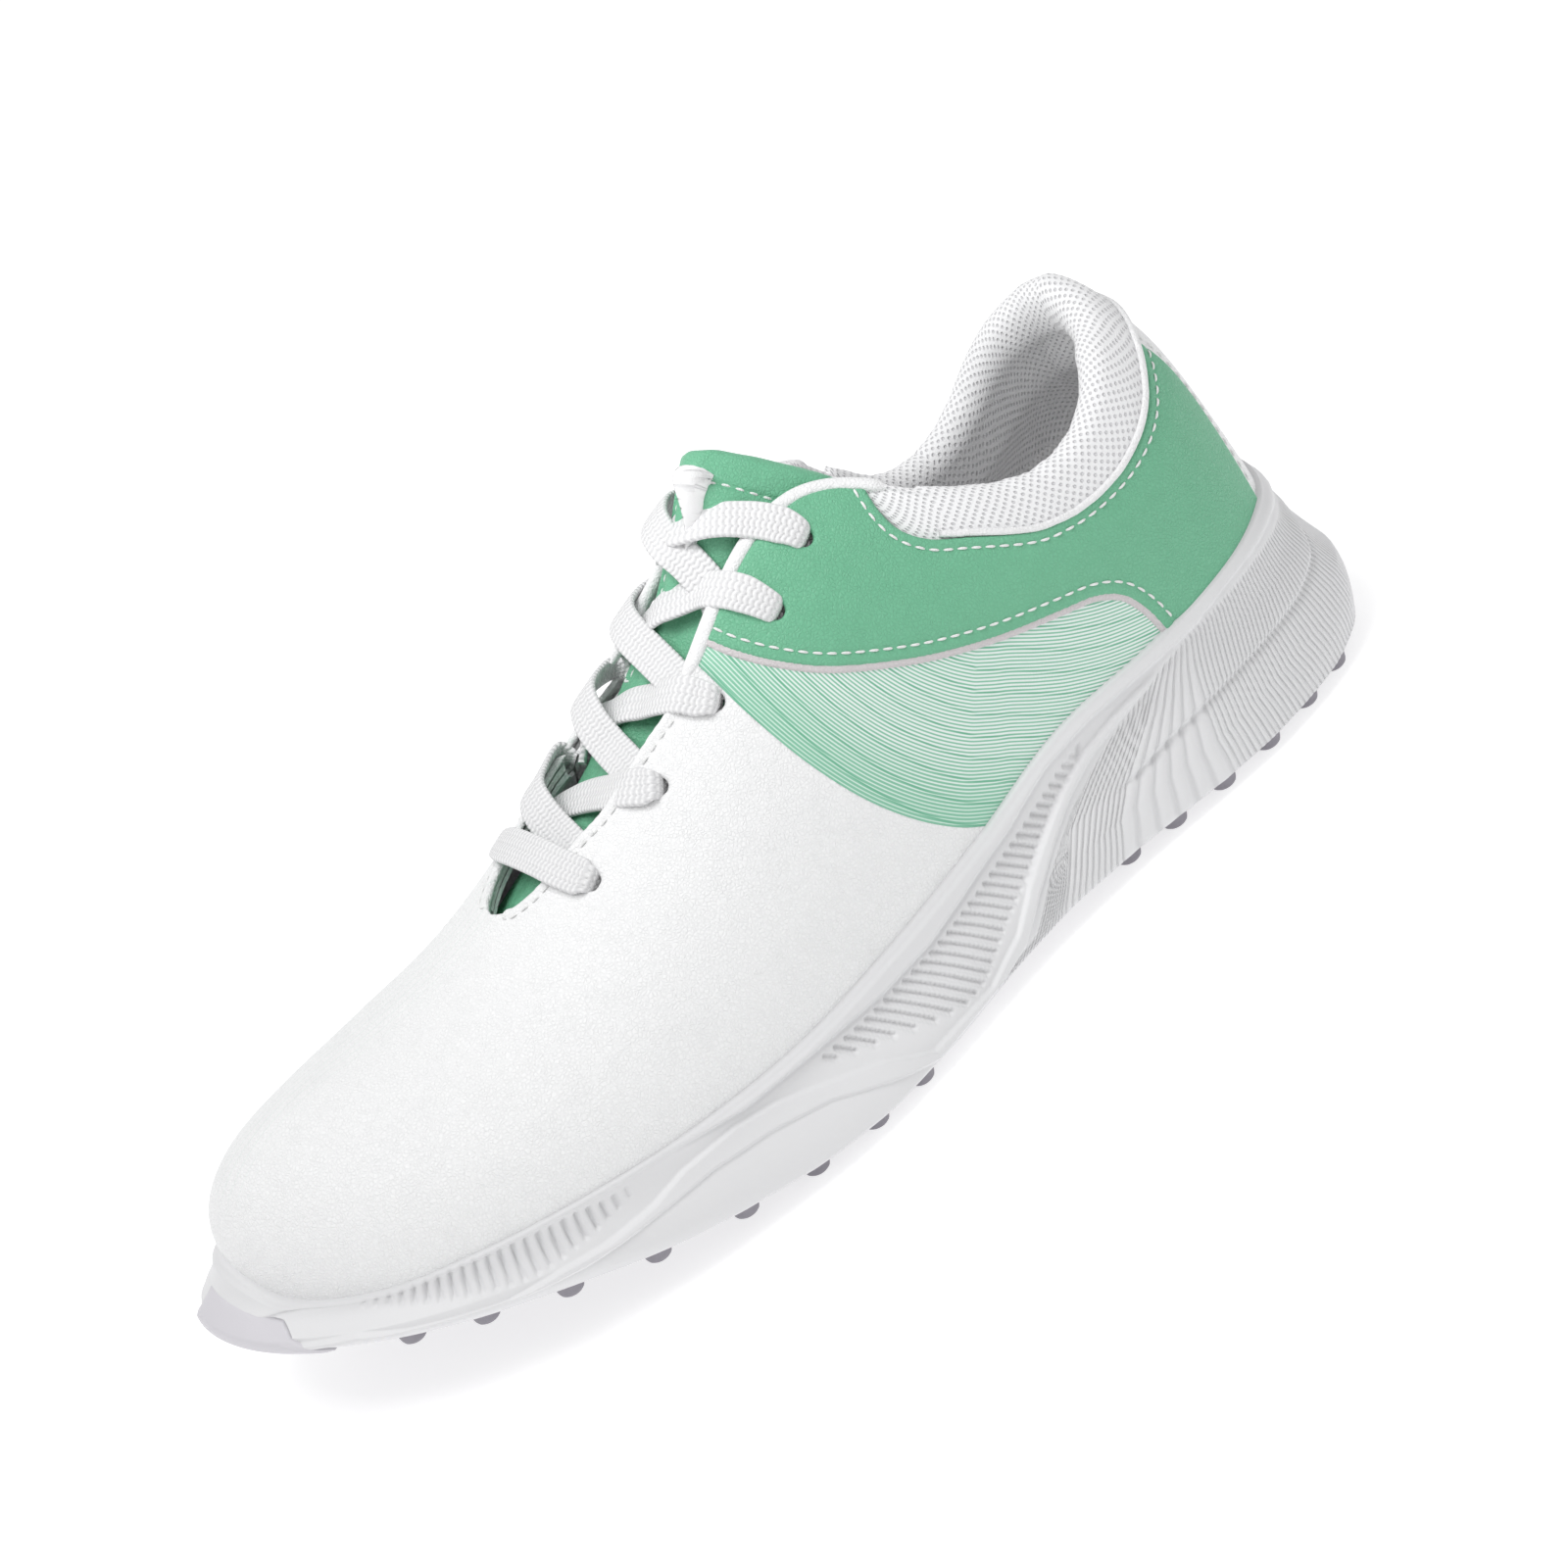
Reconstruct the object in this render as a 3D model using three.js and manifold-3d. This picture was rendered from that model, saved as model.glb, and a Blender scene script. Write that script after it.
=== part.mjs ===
// Golf shoe, left foot, laced.  Millimetres, +Z up, heel toward +X, toe toward -X,
// lateral (outer) side toward -Y, origin on the ground under the middle of the shoe.
// "s" below is the distance forward of the heel: x = HALF - s.
import * as THREE from 'three';
import { mergeVertices } from 'three/addons/utils/BufferGeometryUtils.js';
import Module from 'manifold-3d';

const wasm = await Module();
wasm.setup();
const { Manifold, Mesh: MMesh } = wasm;

// ---------------------------------------------------------------- driving dimensions
const LENGTH = 300, HALF = LENGTH / 2;
const SHIFT_Y = 3.45;            // puts the origin midway between the two sides of the sole
const LEATHER = 1.4;          // upper leather thickness
const GAP = 0.3;              // working gap between touching pieces
const STIFF = [1.7, 2.6];     // depth range of counter, puff and eyestay reinforcement
const LINING = [2.9, 3.8];    // depth range of the lining
const PAD_DEPTH = 9;          // collar pad reaches this deep
const LUG_H = 3.4;            // lug height below the outsole plate
const PLATE = 1.7;            // outsole plate thickness
const LACE_W = 8.4, LACE_T = 1.5;
const HOLE_R = 3.0;           // eyelet hole radius
const TONGUE = [6.2, 7.4, 10.8, 12.2]; // depth of tongue face, foam and lining under the flaps

// 27 columns round the shoe, from the heel centre along the lateral side, round the toe and back.
// Each: foot of the column x, y, z;  its end on the instep line x, y, z;  outward lean b, height h, flatness k.
const COL = [
  [140.5, 0.0, 41.0, 114.4, -1.414, 96.9, 0.161, 0.728, 0.788],
  [138.5, -12.0, 40.9, 113.4, -1.361, 96.9, 0.148, 0.734, 0.786],
  [131.0, -23.5, 40.5, 109.4, -1.146, 96.7, 0.101, 0.757, 0.776],
  [115.0, -31.5, 38.4, 100.0, -0.643, 96.4, 0.001, 0.805, 0.756],
  [90.0, -34.5, 35.9, 82.0, 0.321, 98.7, -0.026, 0.732, 0.63],
  [60.0, -35.0, 34.5, 58.0, 1.575, 106.7, -0.02, 0.6, 0.45],
  [30.0, -37.0, 27.5, 30.0, 2.625, 111.0, -0.012, 0.525, 0.413],
  [0.0, -42.0, 24.3, 0.0, 3.5, 96.0, -0.02, 0.51, 0.425],
  [-30.0, -47.0, 23.4, -30.0, 4.125, 78.4, -0.035, 0.53, 0.462],
  [-60.0, -49.0, 25.5, -58.0, 4.475, 65.2, -0.05, 0.56, 0.5],
  [-86.0, -46.5, 28.1, -79.0, 5.767, 60.8, -0.056, 0.586, 0.539],
  [-109.0, -38.0, 29.3, -95.0, 6.969, 59.4, -0.06, 0.604, 0.569],
  [-126.5, -24.0, 28.8, -103.0, 7.719, 59.6, -0.06, 0.613, 0.586],
  [-138.0, -5.0, 30.5, -106.0, 8.0, 59.6, -0.06, 0.618, 0.596],
  [-139.5, 12.0, 38.0, -106.0, 8.0, 59.6, -0.04, 0.619, 0.598],
  [-130.5, 27.0, 35.5, -103.0, 7.719, 59.6, -0.06, 0.615, 0.59],
  [-113.0, 38.5, 31.0, -95.0, 6.969, 59.4, -0.06, 0.606, 0.573],
  [-90.0, 44.5, 28.6, -79.0, 5.767, 60.8, -0.058, 0.59, 0.545],
  [-62.0, 46.2, 25.7, -58.0, 4.475, 65.2, -0.05, 0.562, 0.503],
  [-32.0, 43.0, 23.5, -30.0, 4.125, 78.4, -0.036, 0.532, 0.465],
  [-2.0, 36.5, 24.2, 0.0, 3.5, 96.0, -0.021, 0.511, 0.428],
  [28.0, 32.2, 27.3, 30.0, 2.625, 111.0, -0.012, 0.52, 0.41],
  [58.0, 31.2, 34.1, 58.0, 1.575, 106.7, -0.02, 0.595, 0.448],
  [88.0, 32.2, 35.9, 82.0, 0.321, 98.7, -0.026, 0.723, 0.618],
  [113.0, 31.3, 38.1, 100.0, -0.643, 96.4, -0.011, 0.811, 0.754],
  [130.0, 24.5, 40.5, 109.4, -1.146, 96.7, 0.095, 0.76, 0.775],
  [138.2, 12.5, 40.9, 113.4, -1.361, 96.9, 0.146, 0.735, 0.785],
];
const N = COL.length;
// sole wall at its widest, one point per column: x, y, z
const WIDE = [
  [150, -1, 16], [147, -16, 16], [137, -29, 16], [117, -36.5, 16], [90, -39.5, 17], [60, -40.5, 17], [31, -43.5, 15], [1, -49, 13],
  [-30, -54, 13], [-60, -55, 15], [-87, -51.5, 18.5], [-112, -42.5, 22], [-132, -28, 25], [-145, -9, 27.5],
  [-147.5, 10, 29], [-142, 27, 28], [-125, 40.5, 24], [-98, 47.5, 19.5], [-68, 50.5, 15.5], [-36, 49, 13], [-6, 43, 13], [26, 37.5, 15],
  [57, 35.5, 17], [88, 36.5, 17], [115, 36, 16], [136, 29, 16], [147, 15, 16],
];
// underside of the midsole along the shoe: s, z
const UNDER = [[-2, 9.5], [4, 6.8], [12, 4.8], [25, 3.7], [64, 3.7], [110, 5.4], [150, 3.7], [175, 4.0],
  [194, 5.3], [211, 7.5], [237, 12.2], [255, 16.2], [277, 20.3], [302, 25]];
// top of the midsole inside the cup, under the insole board: s, z
const BED = [[-5, 28.5], [30, 27.5], [75, 24.5], [105, 21], [140, 17], [175, 15], [205, 15.6], [240, 20], [270, 24.2], [305, 28]];
// collar top line, side view: s, z
const COLLAR = [[-20, 92], [8, 93], [16, 94.5], [24, 94], [32, 91], [40, 86.5], [48, 82.6], [55, 81], [62, 81.2], [70, 84], [78, 88.5],
  [85, 93.5], [91, 98.5], [94.5, 102], [99, 105], [105, 107.5], [112, 108.5], [120, 111], [128, 118], [140, 140]];
// upper edge of the green overlay at the collar: s, z
const GREEN_TOP = [[-20, 87], [16, 88.5], [21.7, 85.6], [25.1, 82.2], [31.1, 77.4], [38.3, 73.8], [46.6, 71.4], [56.4, 70.6], [64.7, 71.5], [71.5, 73.6],
  [83.2, 80.3], [89.6, 84.1], [93.4, 88.7], [94.2, 93.7], [93.0, 99]];
// lower edge of the green overlay: s, z
const GREEN_LOW = [[141.5, 140], [140.5, 93.6], [137.9, 89.4], [132.7, 83.7], [124.7, 77.1], [112.9, 70.1], [102.8, 65.1], [89.3, 59.9], [75.6, 56],
  [67.1, 53.5], [61.5, 49.6], [58.3, 43.7], [56.5, 37.2], [56.5, 5]];
// front edge of the printed quarter: s, z
const PRINT_FRONT = [[146.5, 140], [145, 92.1], [144.4, 80.1], [141.7, 67], [136.5, 53.9], [129.3, 42.5], [121.4, 33.7], [114.6, 28.6], [113, 5]];
// throat opening in plan: s, half width about the instep line
const THROAT = [[206, 0], [205, 3.2], [202, 6.2], [197, 9], [185, 12.3], [178, 14.5], [164, 15.8], [153, 17], [144, 16.4], [138, 15.6], [122, 13.6], [112, 12.4], [104, 12], [96, 14], [86, 20]];
// eyelets on the lateral side, bottom to top: s, y
const EYELETS = [[190.2, -18.6], [167.6, -20.6], [147.5, -21.3], [125.9, -21.3], [111.0, -17.6]];
// lugs: distance from the heel of the outer rows, and s, y of the inner ones
const LUG_LAT = [276, 263, 247, 229, 209, 191, 175, 161, 90, 77, 63, 49, 35, 23];
const LUG_MED = [277, 264, 248, 229, 209, 191, 174, 88, 74, 60, 46, 32];
const LUG_MID = [[262, 2], [240, -14], [240, 20], [218, 2], [200, -20], [200, 20], [180, 0], [166, -20], [14, 0], [34, 0], [56, 0], [80, 0]];
// distance of a lug's centre inside the widest line of the sole: s, distance
const LUG_IN = [[21, 3.6], [34, 2.6], [50, 0.8], [61, 1.0], [76, 2.2], [90, 3.8], [163, 0.4], [175, 1.2], [190, 3.8], [207, 3.8], [228, 5.3], [245, 6.7], [262, 8], [280, 9]];
// how far the bottom edge of the sole flares past its widest line on the lateral side: s, distance
const LOW_OUT = [[-2, -2], [5, -1.5], [14, 0.3], [26, 2.0], [50, 4.2], [70, 3.5], [90, 3], [131, 3], [152, 4.3], [170, 5.3], [188, 4.4], [207, 2], [225, 1], [243, -1], [274, -1.2], [288, -1.2], [302, -1.5]];

// ---------------------------------------------------------------- maths of the upper surface
const sx = (s) => HALF - s;
function lerpTable(tab, a) {
  if (a <= tab[0][0]) return tab[0][1];
  for (let i = 1; i < tab.length; i++) {
    if (a <= tab[i][0]) {
      const f = (a - tab[i - 1][0]) / (tab[i][0] - tab[i - 1][0]);
      return tab[i - 1][1] + (tab[i][1] - tab[i - 1][1]) * f;
    }
  }
  return tab[tab.length - 1][1];
}
function ring(tab, t) { // periodic Catmull-Rom
  const i = Math.floor(t), f = t - i, n = tab.length;
  const g = (k) => tab[((k % n) + n) % n];
  const a = g(i - 1), b = g(i), c = g(i + 1), d = g(i + 2);
  return b.map((_, j) => 0.5 * (2 * b[j] + (c[j] - a[j]) * f + (2 * a[j] - 5 * b[j] + 4 * c[j] - d[j]) * f * f + (3 * b[j] - a[j] - 3 * c[j] + d[j]) * f * f * f));
}
function surf(t, v) {
  const c = ring(COL, t);
  const a1 = 3 * v * (1 - v) ** 2, a2 = 3 * v * v * (1 - v), a3 = v ** 3;
  const u = a1 * c[6] + a2 * (1 - c[8]) + a3, w = a1 * c[7] + a2 + a3;
  return new THREE.Vector3(c[0] + (c[3] - c[0]) * u, c[1] + (c[4] - c[1]) * u, c[2] + (c[5] - c[2]) * w);
}
function outward(t, v) {
  const e = 1e-3, va = Math.min(v, 0.985);
  const dt = surf(t + e, va).sub(surf(t - e, va)), dv = surf(t, va + e).sub(surf(t, va - e));
  const n = dv.cross(dt).normalize();
  if (v > 0.985) { n.y *= 0.2; n.x *= 0.5; n.z = Math.abs(n.z); n.normalize(); }
  return n;
}
function at(t, v, depth) { // point "depth" under the outer surface
  return surf(t, v).addScaledVector(outward(t, v), -depth);
}
const instepY = (s) => { // y of the instep line at s
  const tab = [[36, -1.4], [50, -0.64], [68, 0.32], [92, 1.58], [120, 2.63], [150, 3.5], [180, 4.13], [208, 4.48], [229, 5.77], [245, 6.97], [256, 8]];
  return lerpTable(tab, s);
};
function columnAt(x, side) { // column parameter whose instep point is at x
  let lo = 3, hi = 12;
  for (let i = 0; i < 40; i++) { const m = (lo + hi) / 2; if (ring(COL, m)[3] > x) lo = m; else hi = m; }
  return side < 0 ? lo : N - lo;
}
function paramAt(x, y) { // column and height whose surface point has this x, y (above the mid height)
  let t = columnAt(x, y < instepY(HALF - x) ? -1 : 1), v = 0.7;
  for (let i = 0; i < 30; i++) {
    const p = surf(t, v), e = 1e-3;
    const pt = surf(t + e, v).sub(p).divideScalar(e), pv = surf(t, v + e).sub(p).divideScalar(e);
    const det = pt.x * pv.y - pt.y * pv.x, rx = x - p.x, ry = y - p.y;
    t += Math.max(-0.3, Math.min(0.3, (rx * pv.y - ry * pv.x) / det));
    v += Math.max(-0.1, Math.min(0.1, (pt.x * ry - pt.y * rx) / det));
    v = Math.max(0.3, Math.min(0.98, v));
  }
  return [t, v];
}

// ---------------------------------------------------------------- solids
function signedVolume(pos, idx) {
  let s = 0;
  for (let i = 0; i < idx.length; i += 3) {
    const [a, b, c] = [idx[i] * 3, idx[i + 1] * 3, idx[i + 2] * 3];
    s += pos[a] * (pos[b + 1] * pos[c + 2] - pos[b + 2] * pos[c + 1]) - pos[a + 1] * (pos[b] * pos[c + 2] - pos[b + 2] * pos[c]) + pos[a + 2] * (pos[b] * pos[c + 1] - pos[b + 1] * pos[c]);
  }
  return s / 6;
}
function solid(geometry) {
  let g = geometry.clone();
  for (const k of Object.keys(g.attributes)) if (k !== 'position') g.deleteAttribute(k);
  g = mergeVertices(g, 1e-3);
  const pos = g.attributes.position.array;
  const tri = [];
  const idx = g.index.array;
  for (let i = 0; i < idx.length; i += 3) if (idx[i] !== idx[i + 1] && idx[i + 1] !== idx[i + 2] && idx[i] !== idx[i + 2]) tri.push(idx[i], idx[i + 1], idx[i + 2]);
  if (signedVolume(pos, tri) < 0) for (let i = 0; i < tri.length; i += 3) [tri[i], tri[i + 1]] = [tri[i + 1], tri[i]];
  return new Manifold(new MMesh({ numProp: 3, vertProperties: new Float32Array(pos), triVerts: new Uint32Array(tri) }));
}
function largest(m) {
  const parts = m.decompose();
  let best = parts[0];
  for (const p of parts) if (p.volume() > best.volume()) best = p;
  return best;
}
function geometryOf(m) {
  const mesh = m.getMesh();
  const g = new THREE.BufferGeometry();
  const pos = new Float32Array((mesh.vertProperties.length / mesh.numProp) * 3);
  for (let i = 0; i < pos.length / 3; i++) for (let j = 0; j < 3; j++) pos[i * 3 + j] = mesh.vertProperties[i * mesh.numProp + j];
  g.setAttribute('position', new THREE.BufferAttribute(pos, 3));
  g.setIndex(new THREE.BufferAttribute(new Uint32Array(mesh.triVerts), 1));
  g.computeVertexNormals();
  return g;
}
function gridSolid(rows, closed) { // rows of rings of points, each ring closed; capped at both ends unless closed
  const n = rows[0].length, pts = rows.flat(), idx = [];
  for (let r = 0; r < rows.length - (closed ? 0 : 1); r++) {
    const a0 = r * n, b0 = ((r + 1) % rows.length) * n;
    for (let i = 0; i < n; i++) {
      const j = (i + 1) % n;
      if (i < n / 2) idx.push(a0 + i, b0 + i, b0 + j, a0 + i, b0 + j, a0 + j); // both faces of a strip split the same way
      else idx.push(a0 + i, b0 + i, a0 + j, b0 + i, b0 + j, a0 + j);
    }
  }
  if (!closed) { // flat caps, from the first half of the ring straight across to the second
    for (const [r, flip] of [[0, false], [rows.length - 1, true]]) {
      for (let i = 0; i < n / 2 - 1; i++) {
        const [p, q, u, w] = [r * n + i, r * n + i + 1, r * n + n - 2 - i, r * n + n - 1 - i];
        if (flip) idx.push(p, w, u, p, u, q); else idx.push(p, q, u, p, u, w);
      }
    }
  }
  const g = new THREE.BufferGeometry();
  g.setAttribute('position', new THREE.BufferAttribute(new Float32Array(pts.flatMap((p) => [p.x, p.y, p.z])), 3));
  g.setIndex(idx);
  return g;
}
// closed body under the outer surface at a depth, straight sided below the feather line down to zFloor(s)
function lastBody(depth, zFloor, nT = 46, nV = 7) {
  const rows = [];
  for (let j = -1; j <= nV; j++) {
    const row = [];
    for (let i = 0; i < nT; i++) {
      const t = (N * i) / nT;
      let p;
      if (j < 0) {
        p = at(t, 0.004, depth);
        p.z = zFloor(HALF - p.x);
      } else if (j === nV) {
        const c = ring(COL, i <= nT / 2 ? t : N - t);
        p = new THREE.Vector3(c[3], c[4], c[5] - depth);
      } else {
        const v = j === 0 ? 0.004 : (j / nV) ** 0.95;
        p = at(t, v, depth);
      }
      row.push(p);
    }
    rows.push(row);
  }
  const n = nT, pts = rows.flat(), idx = [];
  for (let r = 0; r < rows.length - 1; r++) for (let i = 0; i < n; i++) {
    const j = (i + 1) % n;
    idx.push(r * n + i, (r + 1) * n + i, (r + 1) * n + j, r * n + i, (r + 1) * n + j, r * n + j);
  }
  for (let i = 0; i < n / 2; i++) { // floor: strips from side to side
    const a = i, b = i + 1, c = (n - i - 1) % n, d = (n - i) % n;
    if (i > 0) idx.push(a, b, d);
    if (b !== c) idx.push(b, c, d);
  }
  const g = new THREE.BufferGeometry();
  g.setAttribute('position', new THREE.BufferAttribute(new Float32Array(pts.flatMap((p) => [p.x, p.y, p.z])), 3));
  g.setIndex(idx);
  return solid(g);
}
function sidePrism(pts, y0 = -90, y1 = 90) { // polygon given as s, z, extruded across the shoe
  const shape = new THREE.Shape(pts.map(([s, z]) => new THREE.Vector2(sx(s), z)));
  const g = new THREE.ExtrudeGeometry(shape, { depth: y1 - y0, bevelEnabled: false });
  g.rotateX(Math.PI / 2);
  g.translate(0, y1, 0);
  return solid(g);
}
function planPrism(pts, z0 = -10, z1 = 160) { // polygon given as s, y, extruded upward
  const shape = new THREE.Shape(pts.map(([s, y]) => new THREE.Vector2(sx(s), y)));
  const g = new THREE.ExtrudeGeometry(shape, { depth: z1 - z0, bevelEnabled: false });
  g.translate(0, 0, z0);
  return solid(g);
}
function band(pathPts) { // flat lace: list of {p, up, w, th}
  const rows = pathPts.map((q, i) => {
    const a = pathPts[Math.max(0, i - 1)].p, b = pathPts[Math.min(pathPts.length - 1, i + 1)].p;
    const dir = b.clone().sub(a).normalize();
    const side = dir.clone().cross(q.up).normalize(), up = side.clone().cross(dir).normalize();
    const w = (q.w ?? LACE_W) / 2, h = (q.th ?? LACE_T) / 2;
    return [[-w, -h], [w, -h], [w, h], [-w, h]].map(([a1, b1]) => q.p.clone().addScaledVector(side, a1).addScaledVector(up, b1));
  });
  return solid(gridSolid(rows, false));
}

const bed = (s) => lerpTable(BED, s);
const under = (s) => lerpTable(UNDER, s);
const below = (d) => (s) => bed(s) - d;

// ---- regions
const upTo = (curve, dz) => [...curve.map(([s, z]) => [s, z + dz]), [curve[curve.length - 1][0], -20], [curve[0][0], -20]];
const collarKeep = sidePrism([...COLLAR, [330, 140], [330, -20], [-20, -20]]);
const throatPts = (grow) => [
  ...THROAT.map(([s, w], i) => [s + (i < 3 ? grow : 0), instepY(s) - (w + grow)]),
  ...THROAT.slice(1).reverse().map(([s, w], i, arr) => [s + (i >= arr.length - 2 ? grow : 0), instepY(s) + w + grow]),
];
const throatCut = planPrism(throatPts(0), 40, 160);
const throatCutBig = planPrism(throatPts(0.5), 40, 160);
const bedCut = (d) => sidePrism([...BED.map(([s, z]) => [s, z + d]), [305, -40], [-5, -40]]);   // everything below bed + d

const eyeletPts = [];
for (const [s, y] of EYELETS) {
  const [t, v] = paramAt(sx(s), y);
  eyeletPts.push({ lat: [t, v], med: [N - t, v] });
}
function holeTool(r) {
  let out = null;
  for (const e of eyeletPts) for (const [t, v] of [e.lat, e.med]) {
    const c = new THREE.CylinderGeometry(r, r, 16, 8);
    const n = outward(t, v);
    c.applyQuaternion(new THREE.Quaternion().setFromUnitVectors(new THREE.Vector3(0, 1, 0), n));
    const p = at(t, v, 2);
    c.translate(p.x, p.y, p.z);
    const m = solid(c);
    out = out ? out.add(m) : m;
  }
  return out;
}
const holes = holeTool(HOLE_R);

// ---- shells of the upper
const outer0 = lastBody(0, below(3));
const shell = outer0.subtract(lastBody(LEATHER, below(12))).subtract(bedCut(2.0)).subtract(throatCut).subtract(holes);
const greenEdge = sidePrism([...GREEN_TOP, [93.5, 140], [-20, 140]]);                           // above the green edge, at the collar
const greenEdgeBig = sidePrism([...GREEN_TOP.map(([s, z], i) => [s + (i > 8 ? 0.4 : 0), z - 0.4]), [94, 140], [-20, 140]]);
const leather = shell.subtract(greenEdge).intersect(collarKeep);
const backOf = sidePrism([[-20, -20], [17.6, -20], [17.6, 140], [-20, 140]]);
const aheadOfBack = sidePrism([[18, -20], [330, -20], [330, 140], [18, 140]]);
const greenRegion = sidePrism([...GREEN_LOW, [-20, 5], [-20, 140]]);
const greenBig = sidePrism([...GREEN_LOW.map(([s, z]) => [s + 0.4, z - 0.3]), [-20, 5], [-20, 140]]);
const behindPrint = sidePrism([...PRINT_FRONT, [-20, 5], [-20, 140]]);
const behindPrintBig = sidePrism([...PRINT_FRONT.map(([s, z]) => [s + 0.4, z]), [-20, 5], [-20, 140]]);
const sideLat = planPrism([[-20, -90], [330, -90], [330, 5], [-20, 5]]), sideMed = planPrism([[-20, 5], [330, 5], [330, 90], [-20, 90]]);
const latHalf = planPrism([[-20, -90], [160, -90], [160, 3], [-20, 0]]), medHalf = planPrism([[-20, 0.4], [160, 3.4], [160, 90], [-20, 90]]);

const vamp = leather.subtract(behindPrintBig);
const quarters = leather.intersect(behindPrint).subtract(greenBig);
const overlays = leather.intersect(greenRegion).intersect(aheadOfBack);
const backStay = leather.intersect(backOf);

// ---- stiffeners and lining
const stiff = lastBody(STIFF[0], below(3)).subtract(lastBody(STIFF[1], below(12))).subtract(bedCut(2.0)).subtract(throatCut).subtract(holes).intersect(collarKeep);
const counterRegion = sidePrism([[-20, 20], [74, 20], [70, 40], [58, 56], [40, 64], [22, 72], [-20, 74]]);
const puffRegion = sidePrism([[246, 10], [330, 10], [330, 100], [240, 100], [243, 60]]);
const stayPts = (side) => [[203, 0], ...THROAT.slice(2).map(([s, w]) => [s, w])].map(([s, w]) => [s, instepY(s) + side * w]);
const stayOuter = (side) => THROAT.slice(2).reverse().map(([s, w]) => [Math.min(s + 5, 212), instepY(s) + side * (w + (s > 195 ? 9 : 15))]);
const stayRegion = (side) => planPrism([...stayPts(side), ...stayOuter(side)], 55, 160).intersect(sidePrism([[97.6, 0], [330, 0], [330, 140], [97.6, 140]]));
const lining = lastBody(LINING[0], below(3)).subtract(lastBody(LINING[1], below(12))).subtract(bedCut(2.0)).subtract(throatCut).subtract(holes).intersect(collarKeep);
const padLow = [[-20, 62], [20, 62], [36, 56], [56, 53], [72, 57], [84, 66], [92, 76], [97, 84]];
const padRegion = sidePrism([...padLow, [101, 140], [-20, 140]]);
const padRegionBig = sidePrism([...padLow.map(([s, z]) => [s + 0.3, z - 0.4]), [101.5, 140], [-20, 140]]);
const mouthPts = [];                     // inner outline of the padded collar in plan
for (let i = -20; i <= 20; i++) { const p = at(((i * 0.25) + N) % N, 0.5, PAD_DEPTH); mouthPts.push([HALF - p.x, p.y]); }
const mouth = planPrism([...mouthPts, [110, mouthPts[40][1] - 4], [110, mouthPts[0][1] + 4]], 74, 160);
const padTool = sidePrism([...GREEN_TOP.map(([s, z], i) => [s - (i > 10 ? 0.5 : 0), z + 0.4]), [93, 140], [-20, 140]]);
const collarPad = lastBody(0.2, below(3)).intersect(padTool).add(lastBody(STIFF[1] + 0.4, below(3)).intersect(padRegion))
  .subtract(lastBody(PAD_DEPTH, below(12))).subtract(mouth)
  .intersect(sidePrism([...COLLAR, [140, 140], [140, -20], [-20, -20]])).subtract(throatCutBig)
  .intersect(sidePrism([[-20, 20], [97, 20], [97, 140], [-20, 140]]));
const liningBody = lining.subtract(padRegionBig);
const quarterLining = liningBody.intersect(sidePrism([[-20, -20], [168, -20], [168, 140], [-20, 140]]));
const vampLining = liningBody.intersect(sidePrism([[168.4, -20], [330, -20], [330, 140], [168.4, 140]]));

// ---- tongue: sewn to the vamp at its front end, free everywhere else
const BASE_S = 122;                      // behind this the tongue leaves the instep and stands up to its end
const END = 28;                          // length parameter of the free end
const END_BACK = [[0, 9], [0.33, 10.5], [0.66, 15], [1, 24]], END_UP = [[0, 14], [0.33, 14.8], [0.66, 14.5], [1, 9]]; // its reach at the middle and toward the sides
function tonguePoint(s, q, depth) {      // s runs from 211 down to BASE_S - END; q from -1 (lateral) to 1 (medial)
  const sBase = Math.max(s, BASE_S), x = sx(sBase), side = q < 0 ? -1 : 1;
  const t = columnAt(x, side), v = 1 - Math.abs(q) * 0.38;
  const lift = 2.6 * (1 - Math.min(1, Math.abs(q) / 0.45) ** 2) * Math.max(0, Math.min(1, (202 - s) / 10));
  const sink = 3.6 * Math.max(0, Math.min(1, (146 - s) / 22)) * Math.abs(q);
  const d = TONGUE[0] - lift + sink, inner = depth - TONGUE[0];
  const a = at(t, Math.min(v, 0.985), d);
  if (v > 0.985) {
    const c = ring(COL, t), k = (v - 0.985) / 0.015;
    a.lerp(new THREE.Vector3(c[3], c[4], c[5] - d), k);
  }
  const yc = instepY(HALF - x);
  a.z -= inner; a.y = yc + (a.y - yc) * (1 - inner * 0.02);
  if (s < sBase) {
    const f = (sBase - s) / END, aq = Math.min(1, Math.abs(q));
    a.add(new THREE.Vector3(f * lerpTable(END_BACK, aq), -Math.sign(q) * f * aq * aq * 1.5, f * lerpTable(END_UP, aq)));
  }
  return a;
}
const QS = [-1, -0.66, -0.33, 0, 0.33, 0.66, 1];
function tongueSolid(sList, d0, d1, qmax = () => 1) {
  const rows = sList.map((s) => {
    const top = QS.map((q) => tonguePoint(s, q * qmax(s), d0)), bot = QS.map((q) => tonguePoint(s, q * qmax(s), d1)).reverse();
    return [...top, ...bot];
  });
  return solid(gridSolid(rows, false));
}
const widthOf = (s) => (s > 170 ? 0.72 + 0.28 * Math.min(1, (211 - s) / 41) : 1);
const tongueS = [211, 200, 184, 168, 154, 140, 130, BASE_S, 109, BASE_S - END];
const tongueOuter = tongueSolid(tongueS, TONGUE[0], TONGUE[1] - 0.2, widthOf);
const tongueFoam = tongueSolid(tongueS, TONGUE[1] + 0.2, TONGUE[2], widthOf);
const tongueLining = tongueSolid(tongueS, TONGUE[2] + 0.4, TONGUE[3], widthOf);

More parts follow.
